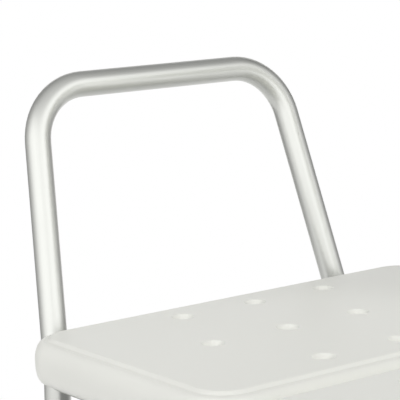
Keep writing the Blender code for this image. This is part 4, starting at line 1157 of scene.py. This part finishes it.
def add_background():
    world = bpy.data.worlds.new("studio")
    bpy.context.scene.world = world
    world.use_nodes = True
    tree = world.node_tree
    tree.nodes.clear()
    level = remap(tree, seen_directly(tree), 0.0, 1.0, AMBIENT, 1.0)
    light = node(tree, "ShaderNodeBackground", Color=(1.0, 1.0, 1.0, 1.0), Strength=level)
    out = tree.nodes.new("ShaderNodeOutputWorld")
    tree.links.new(light.outputs[0], out.inputs["Surface"])


def add_floor():
    """A wide pale floor that keeps the shadows near the bench, and reads as white further out."""
    bm = bmesh.new()
    bmesh.ops.create_circle(bm, cap_ends=True, segments=96, radius=FLOOR_R)
    floor = new_object(mesh_from(bm, "floor"))
    material, tree, shader, place = start_finish(
        "pale_floor", 0.9, Base_Color=(0.72, 0.72, 0.72, 1.0), Specular_IOR_Level=0.0)
    from_bench = node(tree, "ShaderNodeVectorMath", {"operation": "LENGTH"}, i0=place)
    near, far, least = FLOOR_WHITE
    white = node(tree, "ShaderNodeMapRange", {"interpolation_type": "SMOOTHSTEP"},
                 i0=from_bench.outputs["Value"], i1=near, i2=far, i3=least, i4=1.0)
    share = maths(tree, "MULTIPLY", white.outputs[0], seen_directly(tree))
    glow = node(tree, "ShaderNodeEmission", Color=(1.0, 1.0, 1.0, 1.0), Strength=1.0)
    mixed = node(tree, "ShaderNodeMixShader", i0=share, i1=shader.outputs[0], i2=glow.outputs[0])
    tree.links.new(mixed.outputs[0], tree.nodes["Material Output"].inputs["Surface"])
    floor.data.materials.append(material)


# What the tubes reflect: shades of a round screen, by degrees from the camera's side, at the floor and from
# SCREEN_MIDDLE up; four dark glowing cards under the seat, a painted shade; shades of the ceiling, by reach towards
# the camera
SCREEN_R = 1.3
SCREEN_MIDDLE = 0.8
SCREEN_TOP = 2.0
SCREEN_TOP_SHARE = 0.8
SCREEN_SHADES = (
    (-150, 0.26, 0.30), (-138, 0.30, 0.34), (-120, 0.40, 0.44), (-103, 0.52, 0.66), (-89, 0.64, 0.92),
    (-75, 0.82, 1.25), (-60, 1.00, 1.54), (-40, 1.14, 1.59), (-20, 1.20, 1.59), (-4, 1.24, 1.52), (8, 1.34, 1.36),
    (20, 1.48, 1.52), (40, 1.55, 1.62), (64, 1.24, 1.62), (76, 1.06, 1.46), (90, 0.96, 1.14), (103, 0.76, 0.70),
    (120, 0.62, 0.42), (142, 0.40, 0.24), (150, 0.36, 0.22))
# Painted shade: the glow and reach of dark cards under the seat, which the tubes reflect in place of the shade
# there
PAINTED_SHADE_UNDER_SEAT = 0.28
PAINTED_SHADE_FOOT = 0.30
PAINTED_SHADE_CARDS = (
    ("rail_end", (0.03, -0.20), (0.03, 0.20)), ("open_end", (0.53, -0.20), (0.53, 0.20)),
    ("front", (0.03, -0.15), (0.53, -0.15)), ("back", (0.03, 0.15), (0.53, 0.15)))
CEILING_SHADES = ((-2.6, 0.33), (-0.9, 0.40), (-0.35, 0.52), (0.0, 0.64), (0.2, 0.74), (0.9, 0.90), (2.6, 1.05))


def standing(azimuth, distance, height):
    """The matrix of a card that stands round the arm rail, turned to it.

    The azimuth is counted in degrees from the camera's side, to the right."""
    turn = math.radians(azimuth - CAMERA_SIDE)
    place = SEAT.translation + distance * Vector((math.cos(turn), math.sin(turn), 0))
    place.z = height
    target = Vector((SEAT.translation.x, SEAT.translation.y, height))
    return Matrix.Translation(place) @ facing(target - place, "-Z")


def add_softbox(name, matrix, width, height, radiance):
    """A soft lamp whose power follows from the brightness of its face. The metal shows the screen instead."""
    lamp = bpy.data.lights.new(name, "AREA")
    lamp.shape = "RECTANGLE"
    lamp.size = width
    lamp.size_y = height
    lamp.energy = radiance * math.pi * width * height
    obj = new_object(lamp)
    obj.matrix_world = matrix
    obj.visible_glossy = False


def add_reflected(name, rows):
    """A glowing card that only reflections see, from rows of (place, shade)."""
    bm = bmesh.new()
    shades = bm.verts.layers.float.new("shade")
    made = [[bm.verts.new(place) for place, _ in row] for row in rows]
    for verts, row in zip(made, rows):
        for vert, (_, shade) in zip(verts, row):
            vert[shades] = shade
    for first, second in zip(made, made[1:]):
        bridge(bm, first, second, closed=False)
    card = new_object(mesh_from(bm, name))
    material, tree = new_material(name)
    level = node(tree, "ShaderNodeAttribute", {"attribute_name": "shade"}).outputs["Fac"]
    glow = node(tree, "ShaderNodeEmission", Color=(1.0, 1.0, 1.0, 1.0), Strength=level)
    tree.links.new(glow.outputs[0], tree.nodes["Material Output"].inputs["Surface"])
    card.data.materials.append(material)
    for rays in ("camera", "diffuse", "transmission", "shadow"):
        setattr(card, "visible_" + rays, False)


def screen_shade(azimuth, height):
    for (left, *left_shades), (right, *right_shades) in zip(SCREEN_SHADES, SCREEN_SHADES[1:]):
        if left <= azimuth <= right:
            share = (azimuth - left) / (right - left)
            low, high = [a + (b - a) * share for a, b in zip(left_shades, right_shades)]
            return low + (high - low) * min(height / SCREEN_MIDDLE, 1)


def add_reflected_studio():
    """A round screen, a ceiling and the dark under the seat, as the tubes in the photograph show them."""
    rows = []
    for height, share in ((0.005, 1), (SCREEN_MIDDLE, 1), (1.5, 1), (SCREEN_TOP, SCREEN_TOP_SHARE)):
        rows.append([(standing(azimuth, SCREEN_R, height).translation, share * screen_shade(azimuth, height))
                     for azimuth in range(-150, 151, 5)])
    add_reflected("round_screen", rows)
    # Dark glowing cards under the seat: painted shade in the tubes' reflections
    for place, *ends in PAINTED_SHADE_CARDS:
        add_reflected("painted_shade_under_seat_" + place, [
            [(SEAT @ Vector((*end_of_card, height)), PAINTED_SHADE_UNDER_SEAT) for end_of_card in ends]
            for height in (PAINTED_SHADE_FOOT, SEAT_BOTTOM - GAP)])
    middle = SEAT.translation + Vector((0, 0, SCREEN_TOP))
    ahead = standing(0, 1.0, SCREEN_TOP).translation - middle
    across = standing(90, 2.6, SCREEN_TOP).translation - middle
    add_reflected("ceiling", [[(middle + ahead * reach + across * side, shade) for side in (-1, 1)]
                              for reach, shade in CEILING_SHADES])


seat_panel("seat_panel_rail_end", 0, SCREW_XS[:2])
seat_panel("seat_panel_open_end", PANEL_LENGTH + PANEL_GAP, SCREW_XS[2:])
rail_end_frame()
for end in ENDS:
    cross_tube(end)
    for side in SIDES:
        strut(end, side)
        leg_extension(end, side)
for side in SIDES:
    open_end_leg(side)
    side_rail(side)
    rubber_tip(side)
    suction_foot(side)
fasteners()
backrest()

add_camera()
add_background()
add_floor()
for name, place, face in SOFTBOXES:
    add_softbox(name, standing(*place), *face)
add_reflected_studio()

bpy.context.scene.view_settings.view_transform = "Standard"
